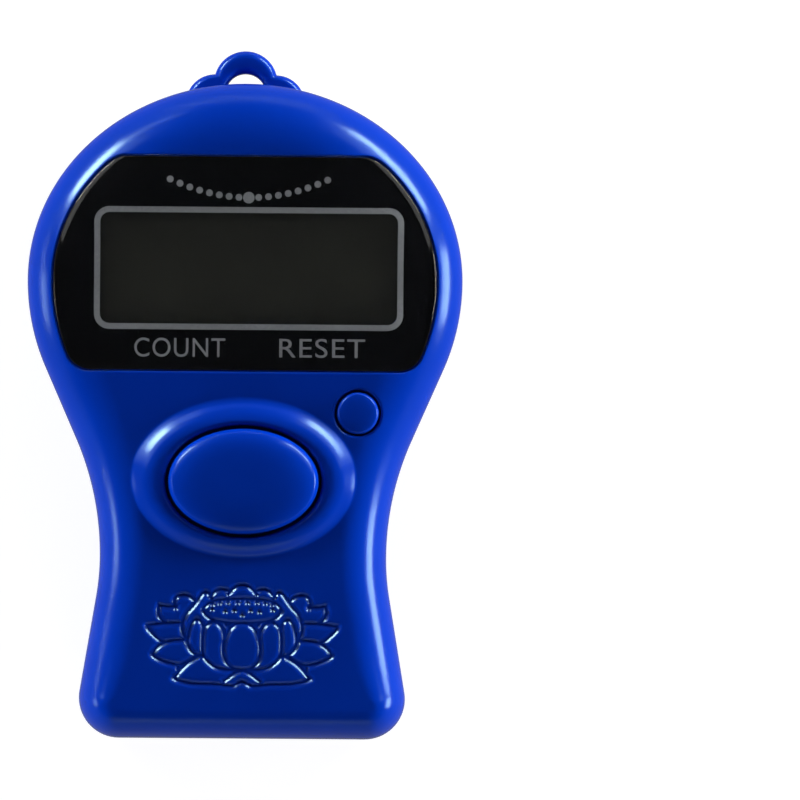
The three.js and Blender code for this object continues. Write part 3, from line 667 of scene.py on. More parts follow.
def case_front():
    """Front shell. The rolled side is a grid of loops drawn in from the outline, and so are the pad
    and every lip and wall; the face and its inside are filled between them."""
    skin = Skin()
    start = math.acos(1 - SIDE_SHARE) / (math.pi / 2)
    foot = [
        inset_row(PARTING_R * (1 - math.sin(a)), PARTING + PARTING_R * (1 - math.cos(a)))
        for a in np.linspace(0, math.pi / 2, 5)
    ]
    step_z, step_inset = LIP["top"] + LIP["fit"], LIP["outer"] - LIP["fit"]
    step = [inset_row(WALL, step_z), inset_row(step_inset, step_z), inset_row(step_inset, PARTING)]
    side = side_rows(0, lambda y: FACE, np.linspace(0, start, 12))
    lining = side_rows(WALL, ceiling, np.linspace(0, start, 6))
    skin.grid(lining[::-1] + step + foot + side)

    window = around_lip(lambda out: window_loop(WINDOW_GAP + out), face_height, WINDOW_LIP)
    seat = window[-1][:, :2]
    aperture = rounded_rect(*(APERTURE[k] for k in ("x", "y", "width", "height", "r")), 10, 40)
    skin.grid(window + [lift(seat, face_height(seat) - SEAT_DEPTH)])
    skin.fill(seat, [aperture], lambda p: face_height(p) - SEAT_DEPTH,
              [window_loop(-d) for d in np.arange(0.4, 5, 0.4)])
    skin.grid([
        lift(aperture, face_height(aperture) - SEAT_DEPTH), lift(aperture, ceiling_height(aperture)),
    ])

    def reset_at(out):
        return ellipse(RESET["x"], RESET["y"], RESET_HOLE_R + out, RESET_HOLE_R + out, 96)

    reset = around_lip(reset_at, face_height, RESET_LIP)
    skin.grid(reset + [lift(reset_at(0), ceiling_height(reset_at(0)))])
    rim_r = PAD["hole"] + PAD["lip"]
    shares = np.linspace(0, 1, 40)
    ovals = [pad_at(PAD["outer"] + (rim_r - PAD["outer"]) * t) for t in shares]
    pad = [lift(oval, face_height(oval) + pad_rise(t, oval)) for t, oval in zip(shares, ovals)]
    pad += around_lip(
        lambda out: pad_at(PAD["hole"] + out), lambda p: face_height(p) + PAD["height"], PAD["lip"],
    )[1:]
    skin.grid(pad + [lift(pad_at(PAD["hole"]), ceiling_height(pad_at(PAD["hole"])))])

    xs, ys, carved = lotus_field()
    skin.grid(carved, closed=False)
    ends = [(xs[:-1], ys[0]), (xs[-1], ys[:-1]), (xs[:0:-1], ys[-1]), (xs[0], ys[:0:-1])]
    border = np.concatenate([np.stack(np.broadcast_arrays(x, y), 1) for x, y in ends])
    holes = [window[0][:, :2], reset[0][:, :2], pad[0][:, :2], border]
    beside = [
        window_loop(WINDOW_GAP + WINDOW_LIP + GUARD), reset_at(RESET_LIP + GUARD),
        pad_at(PAD["outer"] + GUARD),
        rounded_rect(0, (LOTUS["low"] + LOTUS["high"]) / 2, 2 * (LOTUS["half"] + GUARD),
                     LOTUS["high"] - LOTUS["low"] + 2 * GUARD, GUARD, 2, 120),
        OUTLINE - OUTLINE_N * (roll_width(OUTLINE[:, 1]) + GUARD)[:, None],
    ]
    over = [row[:, :2] for row in side_rows(0, lambda y: FACE, np.linspace(start, 1, 15)[1:])]
    skin.fill(side[-1][:, :2], holes, face_height, over + beside)
    under = [row[:, :2] for row in side_rows(WALL, ceiling, np.linspace(start, 1, 6)[1:])]
    skin.fill(lining[-1][:, :2], [aperture, reset_at(0), pad_at(PAD["hole"])], ceiling_height, under)
    return piece("case_front", skin.mesh("case_front"), BLUE, "case", ["front_shell"])


# Groove lines of the lotus: its left half, on a drawing whose origin lies on the flower's axis. Each is
# a smooth line through a few points, and all of them are repeated in mirror.
LOTUS_LINES = [
    # petals, from the middle one outwards
    [(0, 18), (-6, 17), (-10.5, 14), (-13.6, 10), (-17.4, 0), (-18.5, -10), (-16.4, -19.5),
     (-11.5, -25.6), (-5.5, -28.2), (0, -28.8)],
    [(-17.4, 3), (-18.7, 9.5), (-22.5, 16), (-28, 18.7), (-33, 17.7), (-37.5, 13.5), (-39.4, 5),
     (-39.5, -8), (-38, -15), (-33, -21.5), (-25, -26.8), (-16, -28.8), (0, -29)],
    [(-39, 12), (-39.8, 17.3), (-42.5, 20.5), (-46, 21.5), (-49.5, 19.5), (-52, 14.5), (-54.2, 5),
     (-54, -4), (-50, -10.8), (-45, -14.2), (-39, -15.6)],
    [(-31.5, 42.5), (-32.6, 46), (-35.5, 48.5), (-39.5, 47.8), (-43, 44), (-46.3, 38.8), (-51, 33),
     (-55.5, 28), (-58.5, 21.5), (-60, 15), (-59.6, 8.5), (-57, 2), (-54, -4)],
    # seed pod
    [(0, 42.3), (-10, 42), (-23.5, 41), (-32.6, 38.3), (-37.5, 34.7), (-39, 31), (-37, 26.8), (-33, 23.3),
     (-28, 20.7), (-20, 19.2), (-10, 18.1), (0, 17.8)],
    [(-4.5, 42), (-5, 38.5)],
    [(-14, 42), (-14.5, 38.5)],
    [(-22.5, 41.3), (-22.8, 37.8)],
    [(-29.5, 39.5), (-29.8, 36.4)],
    [(-18.5, 18.5), (-15.2, 14.6), (-11.5, 17.8)],
    # petals behind the pod
    [(-14, 46.5), (-12, 49.5), (-9, 52.8), (-5.5, 55), (0, 56)],
    [(-32, 43.5), (-30.3, 46.5), (-27.3, 49.7), (-21.4, 51.6), (-15.5, 50.6), (-12, 48.8)],
    [(-66.5, 32.5), (-68, 38.5), (-65.8, 44), (-59.8, 45.7), (-54, 44.8), (-49.5, 42.2), (-47.5, 39.5)],
    # leaves
    [(-66, 34.2), (-76, 33.8), (-83, 35.2)],
    [(-83, 35.2), (-84, 31), (-83.3, 25.5), (-80.5, 20.8), (-76, 17.6)],
    [(-59.5, 17.6), (-68, 17.6), (-80, 16.8), (-95.3, 15)],
    [(-95.3, 15), (-93.5, 11), (-88.5, 6), (-82.5, 0.8), (-77, -1.9)],
    [(-57.5, 0.8), (-69.4, -0.1), (-78, -2.4), (-85.5, -7.2), (-89.5, -13.2)],
    [(-89.5, -13.2), (-88, -15.8), (-81.3, -19.6), (-72, -22.8), (-62.8, -23.9), (-57, -21.6), (-50, -17.6),
     (-42, -14.6)],
    [(-42, -15), (-52.3, -20.9), (-59, -26.4), (-64, -32)],
    [(-64, -27), (-64, -32), (-68, -37.4)],
    [(-68, -37.4), (-62.8, -40), (-52.3, -42.5), (-41.8, -43.2), (-28.6, -43.4), (-16.8, -44.6), (-10, -45),
     (-5, -42.4), (0, -40.6)],
    [(0, -29.4), (-7.6, -32.3), (-14.8, -37.4), (-18.5, -40.4)],
]
LOTUS_SEEDS = [(-30.2, 31.5), (-17.1, 29.4), (-8.1, 30.4), (0, 26)]


def smooth_line(points, per_span=14):
    """Catmull-Rom line: it leaves each point along the chord between that point's neighbours."""
    p = np.array(points, float)
    p = np.vstack([2 * p[0] - p[1], p, 2 * p[-1] - p[-2]])
    t = np.linspace(0, 1, per_span, endpoint=False)[:, None]
    spans = [
        (2 * b + (c - a) * t + (2 * a - 5 * b + 4 * c - d) * t ** 2 + (3 * b - a - 3 * c + d) * t ** 3) / 2
        for a, b, c, d in zip(p[:-3], p[1:-2], p[2:-1], p[3:])
    ]
    return np.vstack(spans + [p[-2]])


def distance_to_run(points, run):
    """Distance from each point to an open run of short straight steps: the point's shadow on each
    step is held between the step's ends, and the nearest one counts."""
    start, step = run[:-1], np.diff(run, axis=0)
    length = (step ** 2).sum(1)

    def measure(part):
        gap = part[:, None] - start[None]
        t = np.clip((gap * step).sum(-1) / length, 0, 1)
        return np.sqrt(((gap - t[..., None] * step) ** 2).sum(-1)).min(1)
    return in_chunks(measure, points)


def lotus_field():
    """Grid over the engraved field. The cut falls off from a groove line or a seed's centre as
    exp(-(distance / width) ** 2), and fades out at the field's border."""
    half, low, high, pitch = (LOTUS[k] for k in ("half", "low", "high", "pitch"))
    xs = np.linspace(-half, half, round(2 * half / pitch) + 1)
    ys = np.linspace(low, high, round((high - low) / pitch) + 1)
    gx, gy = np.meshgrid(xs, ys)
    field = np.stack([gx.ravel(), gy.ravel()], 1)
    left = np.stack([-np.abs(field[:, 0]), field[:, 1] - LOTUS["y"]], 1)
    runs = [smooth_line(points) * STROKE_UNIT for points in LOTUS_LINES]
    near = np.min([distance_to_run(left, run) for run in runs], axis=0)
    seeds = distance_to(left, np.array(LOTUS_SEEDS) * STROKE_UNIT)
    cut = np.maximum(np.exp(-(near / GROOVE["width"]) ** 2), np.exp(-(seeds / GROOVE["seed_r"]) ** 2))
    border = np.minimum(half - np.abs(gx), np.minimum(gy - low, high - gy))
    cut = GROOVE["depth"] * cut.reshape(gx.shape) * smoothstep(border, 0, FIELD_FADE)
    return xs, ys, np.stack([gx, gy, face_height(field).reshape(gx.shape) - cut], -1)


def back_height(points):
    """Height of the outside of the back: zero, curving up within BACK_ROLL of the outline by
    BACK_ROLL_Z (1 - sqrt(1 - (1 - depth / BACK_ROLL) ** 2))."""
    share = np.clip(depth_inside(points)[0] / BACK_ROLL, 0, 1)
    return BACK_ROLL_Z * (1 - np.sqrt(1 - (1 - share) ** 2))


def door_at(out):
    """The battery door's outline, grown by a distance."""
    width, height = 2 * (DOOR["half"] + out), DOOR["top"] - DOOR["base"] + 2 * out
    return rounded_rect(0, (DOOR["top"] + DOOR["base"]) / 2, width, height, DOOR["r"] + out, 10, 16)


def circle(place, r, steps=72):
    return ellipse(*place, r, r, steps)


def lanyard_loop():
    """Ring round the lanyard's hole. In each direction from the hole's centre it reaches to the
    furthest of three discs, and its section there is a rectangle with rounded corners."""
    centre = np.array(LOOP["hole"])
    a = np.linspace(0, 2 * np.pi, 240, endpoint=False)
    ray = np.stack([np.cos(a), np.sin(a)], 1)
    reach = np.zeros(len(a))
    for x, y, r in LOOP["discs"]:
        offset = np.array([x, y]) - centre
        along = ray @ offset
        beside = r ** 2 - offset @ offset + along ** 2
        reach = np.maximum(reach, np.where(beside > 0, along + np.sqrt(np.maximum(beside, 0)), 0))
    edge, low, top = LOOP_Z["edge"], LOOP_Z["low"], LOOP_Z["top"]
    corners = [
        (-edge, low + edge, -90), (-edge, top - edge, 0), (edge, top - edge, 90), (edge, low + edge, 180),
    ]
    rounds = [arc_profile(out, z, edge, turn, turn + 90, 6) for out, z, turn in corners]
    rows = [lift(centre + ray * (reach + out)[:, None], z) for out, z in rounds[0] + rounds[1]]
    rows += [lift(centre + ray * (LOOP["hole_r"] + out), z) for out, z in rounds[2] + rounds[3]]
    skin = Skin()
    skin.grid(rows + rows[:1])
    return skin.mesh("loop")


def case_back():
    """Rear shell. The rim and the start of the back's roll are loops drawn in from the outline, the
    rest is filled between the door's seat and the screw bores. Then the scoop behind the lanyard's
    hole is cut away and the loop is joined on."""
    skin = Skin()
    rim = [
        inset_row(LIP["inner"], BACK_FLOOR), inset_row(LIP["inner"], LIP["top"]),
        inset_row(LIP["outer"], LIP["top"]), inset_row(LIP["outer"], PARTING),
    ]
    foot = [
        inset_row(PARTING_R * (1 - math.sin(a)), PARTING - PARTING_R * (1 - math.cos(a)))
        for a in np.linspace(0, math.pi / 2, 5)
    ]
    turns = np.linspace(0, math.pi / 2, 17)
    roll = [inset_row(BACK_ROLL * (1 - math.cos(a)), BACK_ROLL_Z * (1 - math.sin(a))) for a in turns]
    side, over = roll[:11], roll[11:]
    skin.grid(rim + foot + side)

    door_seat = around_lip(lambda out: door_at(DOOR["gap"] + out), back_height, DOOR["lip"], -1)
    seat = door_seat[-1][:, :2]
    cell = circle((CELL["x"], CELL["y"]), CELL["hole_r"], 96)
    pilot = circle((0, DOOR_SCREW["y"]), DOOR_SCREW["shaft_r"] + SHANK_GAP)
    skin.grid(door_seat + [lift(seat, DOOR["seat"])])
    skin.fill(seat, [cell, pilot], level(DOOR["seat"]))
    for loop in (cell, pilot):
        skin.grid([lift(loop, DOOR["seat"]), lift(loop, BACK_FLOOR)])
    mouths = []
    for place in CASE_SCREWS:
        mouth = around_lip(lambda out: circle(place, BORE["r"] + out), back_height, BORE["lip"], -1)
        hole = circle(place, BORE["hole_r"])
        seated = lift(mouth[-1][:, :2], BORE["seat"])
        skin.grid(mouth + [seated, lift(hole, BORE["seat"]), lift(hole, BACK_FLOOR)])
        mouths.append(mouth[0][:, :2])
    rings = [row[:, :2] for row in over]
    rings += [circle(place, BORE["r"] + BORE["lip"] + GUARD) for place in CASE_SCREWS]
    rings.append(door_at(DOOR["gap"] + DOOR["lip"] + GUARD))
    rings.append(OUTLINE - OUTLINE_N * (BACK_ROLL + GUARD))
    skin.fill(side[-1][:, :2], [door_seat[0][:, :2], *mouths], back_height, rings)
    holes = [cell, pilot] + [circle(place, BORE["hole_r"]) for place in CASE_SCREWS]
    skin.fill(rim[0][:, :2], holes, level(BACK_FLOOR))

    scoop = Skin()
    low, top, r = -1.0, SCOOP_TOP, LOOP["hole_r"]
    scoop.grid(revolve([(0, low), (r, low), (r, top), (0, top)], *LOOP["hole"]))
    mesh = combine(skin.mesh("case_back"), "DIFFERENCE", scoop.mesh("scoop"))
    mesh = combine(mesh, "UNION", lanyard_loop())
    return piece("case_back", mesh, BLUE, "case", ["rear_shell"])


def battery_door():
    """Battery door: its outline as a plate with a rounded outer edge, sunk round its screw."""
    skin = Skin()
    edge = around_lip(lambda out: door_at(-out), level(0.0), DOOR["lip"], -1)
    sink_r, sink_z = DOOR_SCREW["head_r"] + SHANK_GAP, DOOR_SCREW["seat"] + 0.02
    place = (0, DOOR_SCREW["y"])
    sink = around_lip(lambda out: circle(place, sink_r + out), level(0.0), DOOR["lip"], -1)
    hole = circle(place, DOOR_SCREW["shaft_r"] + SHANK_GAP)
    skin.grid(edge + [lift(door_at(0), DOOR["t"])])
    skin.grid(sink + [lift(circle(place, sink_r), sink_z), lift(hole, sink_z), lift(hole, DOOR["t"])])
    skin.fill(edge[0][:, :2], [sink[0][:, :2]], level(0.0),
              [circle(place, sink_r + DOOR["lip"] + GUARD), door_at(-DOOR["lip"] - GUARD)])
    skin.fill(door_at(0), [hole], level(DOOR["t"]))
    return piece("battery_cover", skin.mesh("door"), BLUE, "case", ["battery_door"])


def screw(name, node, place, spec):
    """Screw driven upwards. Its head is a polar grid in which a cross is sunk by a smooth step of the
    depth inside two crossed bars; its thread is a wave of the shank's radius."""
    head_r, low, seat, shaft_r, tip = (spec[k] for k in ("head_r", "low", "seat", "shaft_r", "tip"))
    edge = 0.35 * min(head_r, seat - low)
    face = revolve([(r, low) for r in np.linspace(0, head_r - edge, 36)], steps=144)
    x, y = np.abs(face[..., 0]), np.abs(face[..., 1])
    bar, arm = 0.16 * head_r, 0.6 * head_r
    sunk = np.maximum(np.minimum(bar - y, arm - x), np.minimum(bar - x, arm - y))
    face[..., 2] += 0.55 * (seat - low) * smoothstep(sunk, -0.02, 0.1)
    z = np.linspace(seat + 0.1, tip - shaft_r, 120)
    thread = shaft_r - 0.09 * (1 + np.cos(2 * np.pi * z / spec["pitch"]))
    shank = np.stack([thread, z], 1).tolist()
    rest = arc_profile(head_r - edge, low + edge, edge, -90, 0, 8)[1:]
    rest += [(head_r, seat), (shaft_r, seat)]
    skin = Skin()
    skin.grid(np.concatenate([face, revolve(rest + shank + [(0, tip)], steps=144)]) + [*place, 0])
    return piece(name, skin.mesh(name), ZINC, "case", [node])


# Window

def polar_sheet(loop, height, rows=48):
    """Rows from the window's middle out to a loop: row s is the loop drawn in to the middle by s."""
    middle = np.array([0, (WINDOW["top"] + WINDOW["base"]) / 2])
    rings = [middle + s * (loop - middle) for s in np.linspace(0, 1, rows)]
    return [lift(ring, height(ring)) for ring in rings]


def window_lens():
    """Lens: the case's own rolled face, as deep as the acrylic is thick, with a softened top edge."""
    edge = around_lip(lambda out: window_loop(-out), face_height, LENS_LIP)
    top = polar_sheet(edge[0][:, :2], face_height)
    under = polar_sheet(window_loop(0), under_lens(0))
    skin = Skin()
    skin.grid(top + edge[1:] + under[::-1])
    mesh = skin.mesh("lens")
    return piece("window_acrylic", mesh, ACRYLIC, "case", ["window_lens"])


def sight_loop(grow):
    return rounded_rect(SIGHT["x"], SIGHT["y"], SIGHT["width"] + 2 * grow, SIGHT["height"] + 2 * grow,
                        SIGHT["r"] + grow, 12, 60)


def under_lens(depth):
    """Height of a surface that follows the face at a depth below it."""
    return lambda points: face_height(points) - LENS_T - depth


def window_mask():
    """Black print on its carrier: a sheet that follows the face, open at the display."""
    outer, sight = window_loop(-0.02), sight_loop(0)
    top, bottom = under_lens(GLUE), under_lens(GLUE + MASK_T)
    rings = [window_loop(-d) for d in np.arange(0.5, 8, 0.5)]
    skin = Skin()
    skin.fill(outer, [sight], top, rings)
    skin.fill(outer, [sight], bottom, rings)
    for loop in (outer, sight):
        skin.grid([lift(loop, top(loop)), lift(loop, bottom(loop))])
    mesh = skin.mesh("mask")
    return piece("window_print_black", mesh, BLACK_INK, "case", ["window_mask"])


def printed_frame():
    """Silver line round the display: a flat ring of ink on the mask, its section a thin rectangle."""
    base, top = under_lens(GLUE - 0.001), under_lens(GLUE - PRINT_T)
    inner, outer = sight_loop(0.02), sight_loop(FRAME_LINE)
    section = [(inner, base), (inner, top), (outer, top), (outer, base), (inner, base)]
    skin = Skin()
    skin.grid([lift(loop, height(loop)) for loop, height in section])
    return piece("window_print_frame", skin.mesh("frame"), SILVER_INK, "case")


def printed_word(word, left, right):
    """A word in plain capitals, stretched to its measured box and laid on the mask."""
    text = bpy.data.objects.new(word, bpy.data.curves.new(word, "FONT"))
    text.data.body, text.data.extrude, text.data.space_character = word, 0.02, 1.08
    bpy.context.scene.collection.objects.link(text)
    mesh = bpy.data.meshes.new_from_object(text.evaluated_get(bpy.context.evaluated_depsgraph_get()))
    bpy.data.objects.remove(text)
    flat = np.empty(3 * len(mesh.vertices))
    mesh.vertices.foreach_get("co", flat)
    points = flat.reshape(-1, 3)
    share = (points - points.min(0)) / np.ptp(points, axis=0)
    plan = np.array([left, WORD_LOW]) + share[:, :2] * [right - left, WORD_HIGH - WORD_LOW]
    place = lift(plan, under_lens(GLUE - 0.001)(plan) + share[:, 2] * PRINT_T) + [0, HEAD_Y, 0]
    mesh.vertices.foreach_set("co", (place * MM).ravel())
    work = bmesh.new()
    work.from_mesh(mesh)
    bmesh.ops.remove_doubles(work, verts=work.verts, dist=0.001 * MM)
    bmesh.ops.triangulate(work, faces=work.faces)
    bmesh.ops.recalc_face_normals(work, faces=work.faces)
    work.to_mesh(mesh)
    work.free()
    return piece("window_print_" + word.lower(), mesh, SILVER_INK, "case")


def printed_beads():
    """Ornament above the display: a short strand of printed beads on a parabola, the middle one large."""
    skin = Skin()
    low = FACE - LENS_T - GLUE + 0.001
    top = FACE - LENS_T - GLUE + PRINT_T
    for t in np.linspace(-1, 1, BEADS["count"]):
        r = BEADS["r"] * (BEADS["middle"] if abs(t) < 0.01 else 1)
        x, y = BEADS["x"] + BEADS["half"] * t, BEADS["y"] - BEADS["sag"] * (1 - t ** 2)
        skin.grid(revolve([(0, low), (r, low), (r, top), (0, top)], x, y, steps=40))
    return piece("window_print_beads", skin.mesh("beads"), SILVER_INK, "case")


# Keys

def key_cap(name, node, body, key, cap, flange_r, hollow, steps):
    """Moulded key: a cap over a skirt whose flange holds it behind the face. A distance s in from the
    rim the cap lies below its top by crown exp(-s / fade), less what that is at the middle, and by
    drop (1 - s / edge) ** 2.5 more while s is less than the edge's width. The edge's loops lie inside
    one another at even distances, and the rest are drawn in to the middle."""
    r, low_r, edge = key["r"], key["r"] * key["oval"], cap["edge"]

    def top_at(s):
        dome = cap["crown"] * (math.exp(-s / cap["fade"]) - math.exp(-low_r / cap["fade"]))
        return key["top"] - dome - cap["drop"] * max(1 - s / edge, 0) ** 2.5

    rows = [
        lift(ellipse(key["x"], key["y"], r - s, low_r - s, steps), top_at(s))
        for s in edge * np.linspace(0, 1, 10)
    ]
    for t in np.linspace(1, 0, 32)[1:]:
        oval = ellipse(key["x"], key["y"], (r - edge) * t, (low_r - edge) * t, steps)
        rows.append(lift(oval, top_at(low_r - (low_r - edge) * t)))
    profile = hollow + [(flange_r, FLANGE["low"]), (flange_r, FLANGE["top"]), (r, FLANGE["top"])]
    skin = Skin()
    skin.grid(np.concatenate([revolve(profile, key["x"], key["y"], key["oval"], steps), rows]))
    return piece(name, skin.mesh(name), BUTTON_BLUE, body, [node], 32)


def key_dome(name, node, key, dome):
    """Silicone dome: foot on the board, sloping web and plunger."""
    half_web = WEB_T / 2
    foot_round, top_round = DOME_ROUND["foot"], DOME_ROUND["top"]
    rim_r = dome["neck_r"] - half_web - top_round
    profile = [
        (0, dome["roof"]), (dome["neck_r"] - WEB_T, dome["roof"]), (dome["web_r"] - WEB_T, dome["foot"]),
        (dome["web_r"] - WEB_T, BOARD_TOP), (dome["foot_r"], BOARD_TOP),
        *arc_profile(dome["foot_r"] - foot_round, dome["foot"] - foot_round, foot_round, 0, 90, 5),
        (dome["web_r"] + half_web / 2, dome["foot"]), (dome["neck_r"], dome["neck"]),
        *arc_profile(rim_r, dome["top"] - top_round, top_round, 0, 90, 5), (0, dome["top"]),
    ]
    skin = Skin()
    skin.grid(revolve(profile, key["x"], key["y"], steps=72))
    shown = piece(name, skin.mesh(name), SILICONE, "case", [node])
    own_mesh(shown)


case_front()
case_back()
battery_door()
window_lens()
window_mask()
printed_frame()
for word, (left, right) in WORDS.items():
    printed_word(word, left, right)
printed_beads()
key_cap("count_key_cap", "count_button", "count_key", COUNT, COUNT_CAP, COUNT_FLANGE_R, [
    (0, COUNT_DOME["top"]), (COUNT_HOLLOW["core_r"], COUNT_DOME["top"]),
    (COUNT_HOLLOW["core_r"], COUNT_HOLLOW["top"]), (COUNT_HOLLOW["r"], COUNT_HOLLOW["top"]),
    (COUNT_HOLLOW["r"], FLANGE["low"]),
], 220)
key_cap("reset_key_cap", "reset_button", "reset_key", RESET, RESET_CAP, RESET_FLANGE_R, [
    (0, RESET_DOME["top"]), (RESET_CORE_R, RESET_DOME["top"]), (RESET_CORE_R, FLANGE["low"]),
], 120)
key_dome("count_dome", "count_key_dome", COUNT, COUNT_DOME)
key_dome("reset_dome", "reset_key_dome", RESET, RESET_DOME)
for number, place in enumerate(CASE_SCREWS, 1):
    screw(f"case_screw_zinc_{number}", f"case_screw_{number}", place, CASE_SCREW)
screw("door_screw_zinc", "door_screw", (0, DOOR_SCREW["y"]), DOOR_SCREW)

# Inner parts keep the frame's solids and get their finishes
INNER = {
    FILM: ["lcd_front_polariser", "lcd_reflector"],
    CELL_GLASS: ["lcd_front_glass", "lcd_rear_glass"],
    CONDUCTIVE: ["zebra_strip", "count_contact_pill", "reset_contact_pill"],
    FOAM: ["foam_strip"],
    SOLDER_MASK: ["circuit_board"],
    RESIN: ["chip_resin_blob"],
    CERAMIC: ["chip_capacitor", "chip_resistor"],
    NICKEL: ["button_cell", "positive_contact", "negative_contact"],
    ZINC: [f"board_screw_{number}" for number in range(1, 5)],
}
for finish, nodes in INNER.items():
    for node in nodes:
        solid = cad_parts[node]
        solid.data.materials.clear()
        solid.data.materials.append(finish)


# Stage: camera above, white floor, soft lamps

FIELD = 75.55  # millimetres across the photograph's frame
CAMERA_Z = 1200.0
CAMERA_FOCUS_Z = 6.0
CAMERA_LEFT = 10.0  # how far the camera stands to the left of what it looks at
TURN = math.radians(0.45)
OBJECT_RIGHT = -14.7  # the counter's middle, from the middle of the frame
OBJECT_UP = 0.6


def camera():
    """Long lens above, a touch to the left, turned by the counter's slight tilt in the photograph."""
    lens = bpy.data.cameras.new("camera")
    lens.sensor_width = 36.0
    lens.lens = lens.sensor_width * (CAMERA_Z - CAMERA_FOCUS_Z) / FIELD
    lens.clip_end = 20.0
    eye = bpy.data.objects.new("camera", lens)
    x = -(OBJECT_RIGHT * math.cos(TURN) - OBJECT_UP * math.sin(TURN))
    y = -(OBJECT_RIGHT * math.sin(TURN) + OBJECT_UP * math.cos(TURN))
    eye.location = ((x - CAMERA_LEFT) * MM, y * MM, CAMERA_Z * MM)
    eye.rotation_euler = (0, -math.atan(CAMERA_LEFT / (CAMERA_Z - CAMERA_FOCUS_Z)), TURN)
    bpy.context.scene.collection.objects.link(eye)
    bpy.context.scene.camera = eye


def softbox(name, azimuth, elevation, distance, width, height, power, mirrored):
    """Area lamp aimed at the counter from an azimuth and an elevation in degrees. A mirrored lamp is
    there for its reflection in the gloss, the others for the light on the colour."""
    lamp = bpy.data.lights.new(name, "AREA")
    lamp.shape, lamp.size, lamp.size_y, lamp.energy = "RECTANGLE", width, height, power
    box = bpy.data.objects.new(name, lamp)
    a, e = math.radians(azimuth), math.radians(elevation)
    out = distance * math.cos(e)
    box.location = (out * math.cos(a), out * math.sin(a), distance * math.sin(e))
    box.rotation_euler = (math.pi / 2 - e, 0, a + math.pi / 2)
    box.visible_glossy = mirrored
    box.visible_diffuse = not mirrored
    box.visible_transmission = not mirrored
    bpy.context.scene.collection.objects.link(box)


MIRRORED_WHITE = 0.22  # how white the gloss mirrors the table and the room's low part
FLOOR_Z = 0.02  # a hair above the case's flat back, so that the back is lit in views from below
UNDER_LIGHT = 0.9  # strength of the light below the table, which only views from below show
LOW_LIGHT = 0.2  # strength of the room's low part as a light
OVERHEAD_LIGHT = 0.02
TABLE_HALF = 3  # metres


def floor():
    """Pale table, a plain square. The camera sees it white under the counter's shadow, and so do clear
    parts; the gloss mirrors it paler, and from below it is clear."""
    mesh = bpy.data.meshes.new("floor")
    signs = [(-1, -1), (1, -1), (1, 1), (-1, 1)]
    corners = [(sx * TABLE_HALF, sy * TABLE_HALF, FLOOR_Z * MM) for sx, sy in signs]
    mesh.from_pydata(corners, [], [(0, 1, 2, 3)])
    ground = bpy.data.objects.new("floor", mesh)
    bpy.context.scene.collection.objects.link(ground)
    material, tree = blank_material("white_table")
    path = add(tree, "LightPath").outputs
    side = add(tree, "NewGeometry")
    lit = add(tree, "BsdfDiffuse", inputs={"Color": linear("#959595")})
    white = add(tree, "Emission", inputs={"Strength": 0.9})
    lit_white = add(tree, "AddShader", inputs={0: lit.outputs[0], 1: white.outputs[0]})
    seen = add(tree, "Math", {"operation": "MAXIMUM"}, {
        0: path["Is Camera Ray"], 1: path["Is Transmission Ray"],
    })
    pale = add(tree, "MixShader", inputs={0: seen.outputs[0], 1: lit.outputs[0], 2: lit_white.outputs[0]})
    mirror = add(tree, "Emission", inputs={"Strength": MIRRORED_WHITE})
    table = add(tree, "MixShader", inputs={
        0: path["Is Glossy Ray"], 1: pale.outputs[0], 2: mirror.outputs[0],
    })
    clear = add(tree, "BsdfTransparent")
    top = add(tree, "MixShader", inputs={
        0: side.outputs["Backfacing"], 1: table.outputs[0], 2: clear.outputs[0],
    })
    add(tree, "OutputMaterial", inputs={"Surface": top.outputs[0]})
    mesh.materials.append(material)


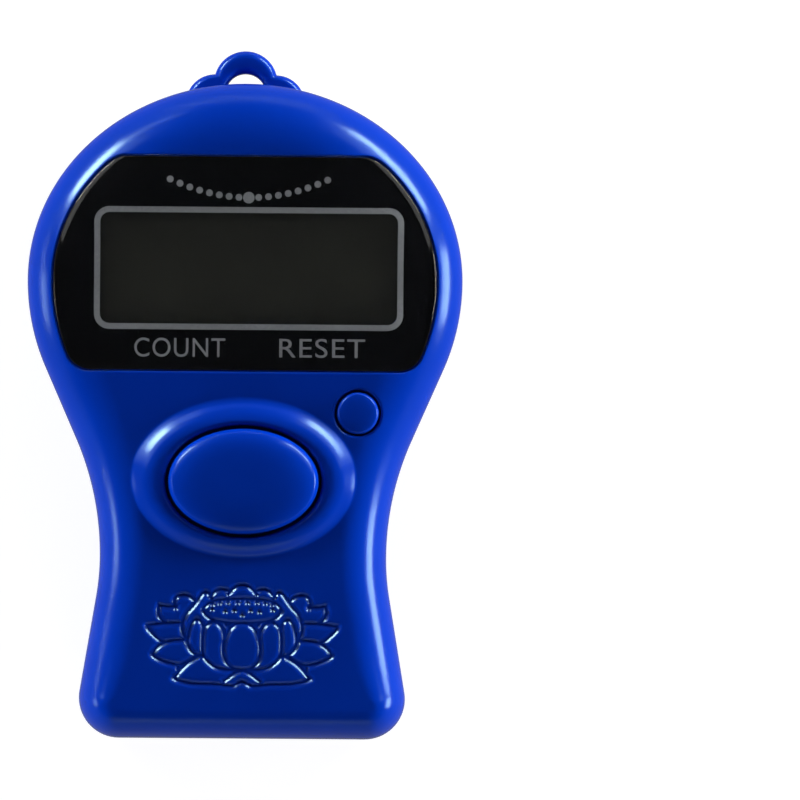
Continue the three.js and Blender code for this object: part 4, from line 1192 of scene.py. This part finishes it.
def surroundings():
    """White for the camera. For light, in the gloss and through clear parts it is a dim room, nearly
    black overhead, so that the flat face and the window stay deep, and as pale as the table low down.
    Below the table, where only views from below look, it lights the back."""
    world = bpy.data.worlds.new("studio")
    world.use_nodes = True
    tree = world.node_tree
    tree.nodes.clear()
    bpy.context.scene.world = world
    direction = add(tree, "TexCoord").outputs["Generated"]
    height = add(tree, "SeparateXYZ", inputs={0: direction}).outputs["Z"]
    path = add(tree, "LightPath").outputs
    shiny = add(tree, "Math", {"operation": "MAXIMUM"}, {
        0: path["Is Glossy Ray"], 1: path["Is Transmission Ray"],
    })
    low = add(tree, "MapRange", inputs={
        "Value": shiny.outputs[0], "To Min": LOW_LIGHT, "To Max": MIRRORED_WHITE,
    })
    grey = add(tree, "MapRange", inputs={
        "Value": height, "From Min": 0.4, "From Max": 0.2, "To Min": OVERHEAD_LIGHT,
        "To Max": low.outputs["Result"],
    })
    below = add(tree, "MapRange", inputs={
        "Value": height, "From Min": -0.02, "From Max": -0.1, "To Min": grey.outputs["Result"],
        "To Max": UNDER_LIGHT,
    })
    strength = add(tree, "MapRange", inputs={
        "Value": path["Is Camera Ray"], "To Min": below.outputs["Result"], "To Max": 1.0,
    })
    sky = add(tree, "Background", inputs={"Strength": strength.outputs["Result"]})
    add(tree, "OutputWorld", inputs={"Surface": sky.outputs[0]})


camera()
floor()
surroundings()
# Name, azimuth and elevation in degrees, distance, width and height in metres, power in watts
MIRRORED_LAMPS = [
    ("softbox_right", 44, 20, 1.0, 0.58, 0.16, 6.4),
    ("softbox_left", 138, 20, 1.0, 0.36, 0.16, 6.8),
    ("softbox_top_left", 117, 20, 1.0, 0.3, 0.12, 0.2),
    ("halo_right", 40, 32, 1.0, 0.75, 0.34, 1.0),
    ("halo_left", 142, 32, 1.0, 0.65, 0.34, 0.9),
    ("strip_right", 1, 9, 1.0, 0.4, 0.3, 4.2),
    ("strip_left", 184, 9, 1.0, 0.25, 0.2, 0.6),
]
LIGHTING_LAMPS = [
    ("key_right", 44, 20, 1.0, 0.6, 0.13, 4.7),
    ("key_left", 138, 20, 1.0, 0.45, 0.12, 3.0),
    ("fill_right", 5, 2.8, 1.0, 0.6, 0.09, 18.5),
    ("fill_left", 177, 2.8, 1.0, 0.6, 0.09, 14),
    ("fill_top", 90, 3.5, 1.0, 0.8, 0.16, 9.2),
    ("fill_base", -90, 20, 0.34, 0.25, 0.1, 0.42),
]
for lamp in MIRRORED_LAMPS:
    softbox(*lamp, mirrored=True)
for lamp in LIGHTING_LAMPS:
    softbox(*lamp, mirrored=False)
bpy.context.scene.view_settings.view_transform = "Standard"
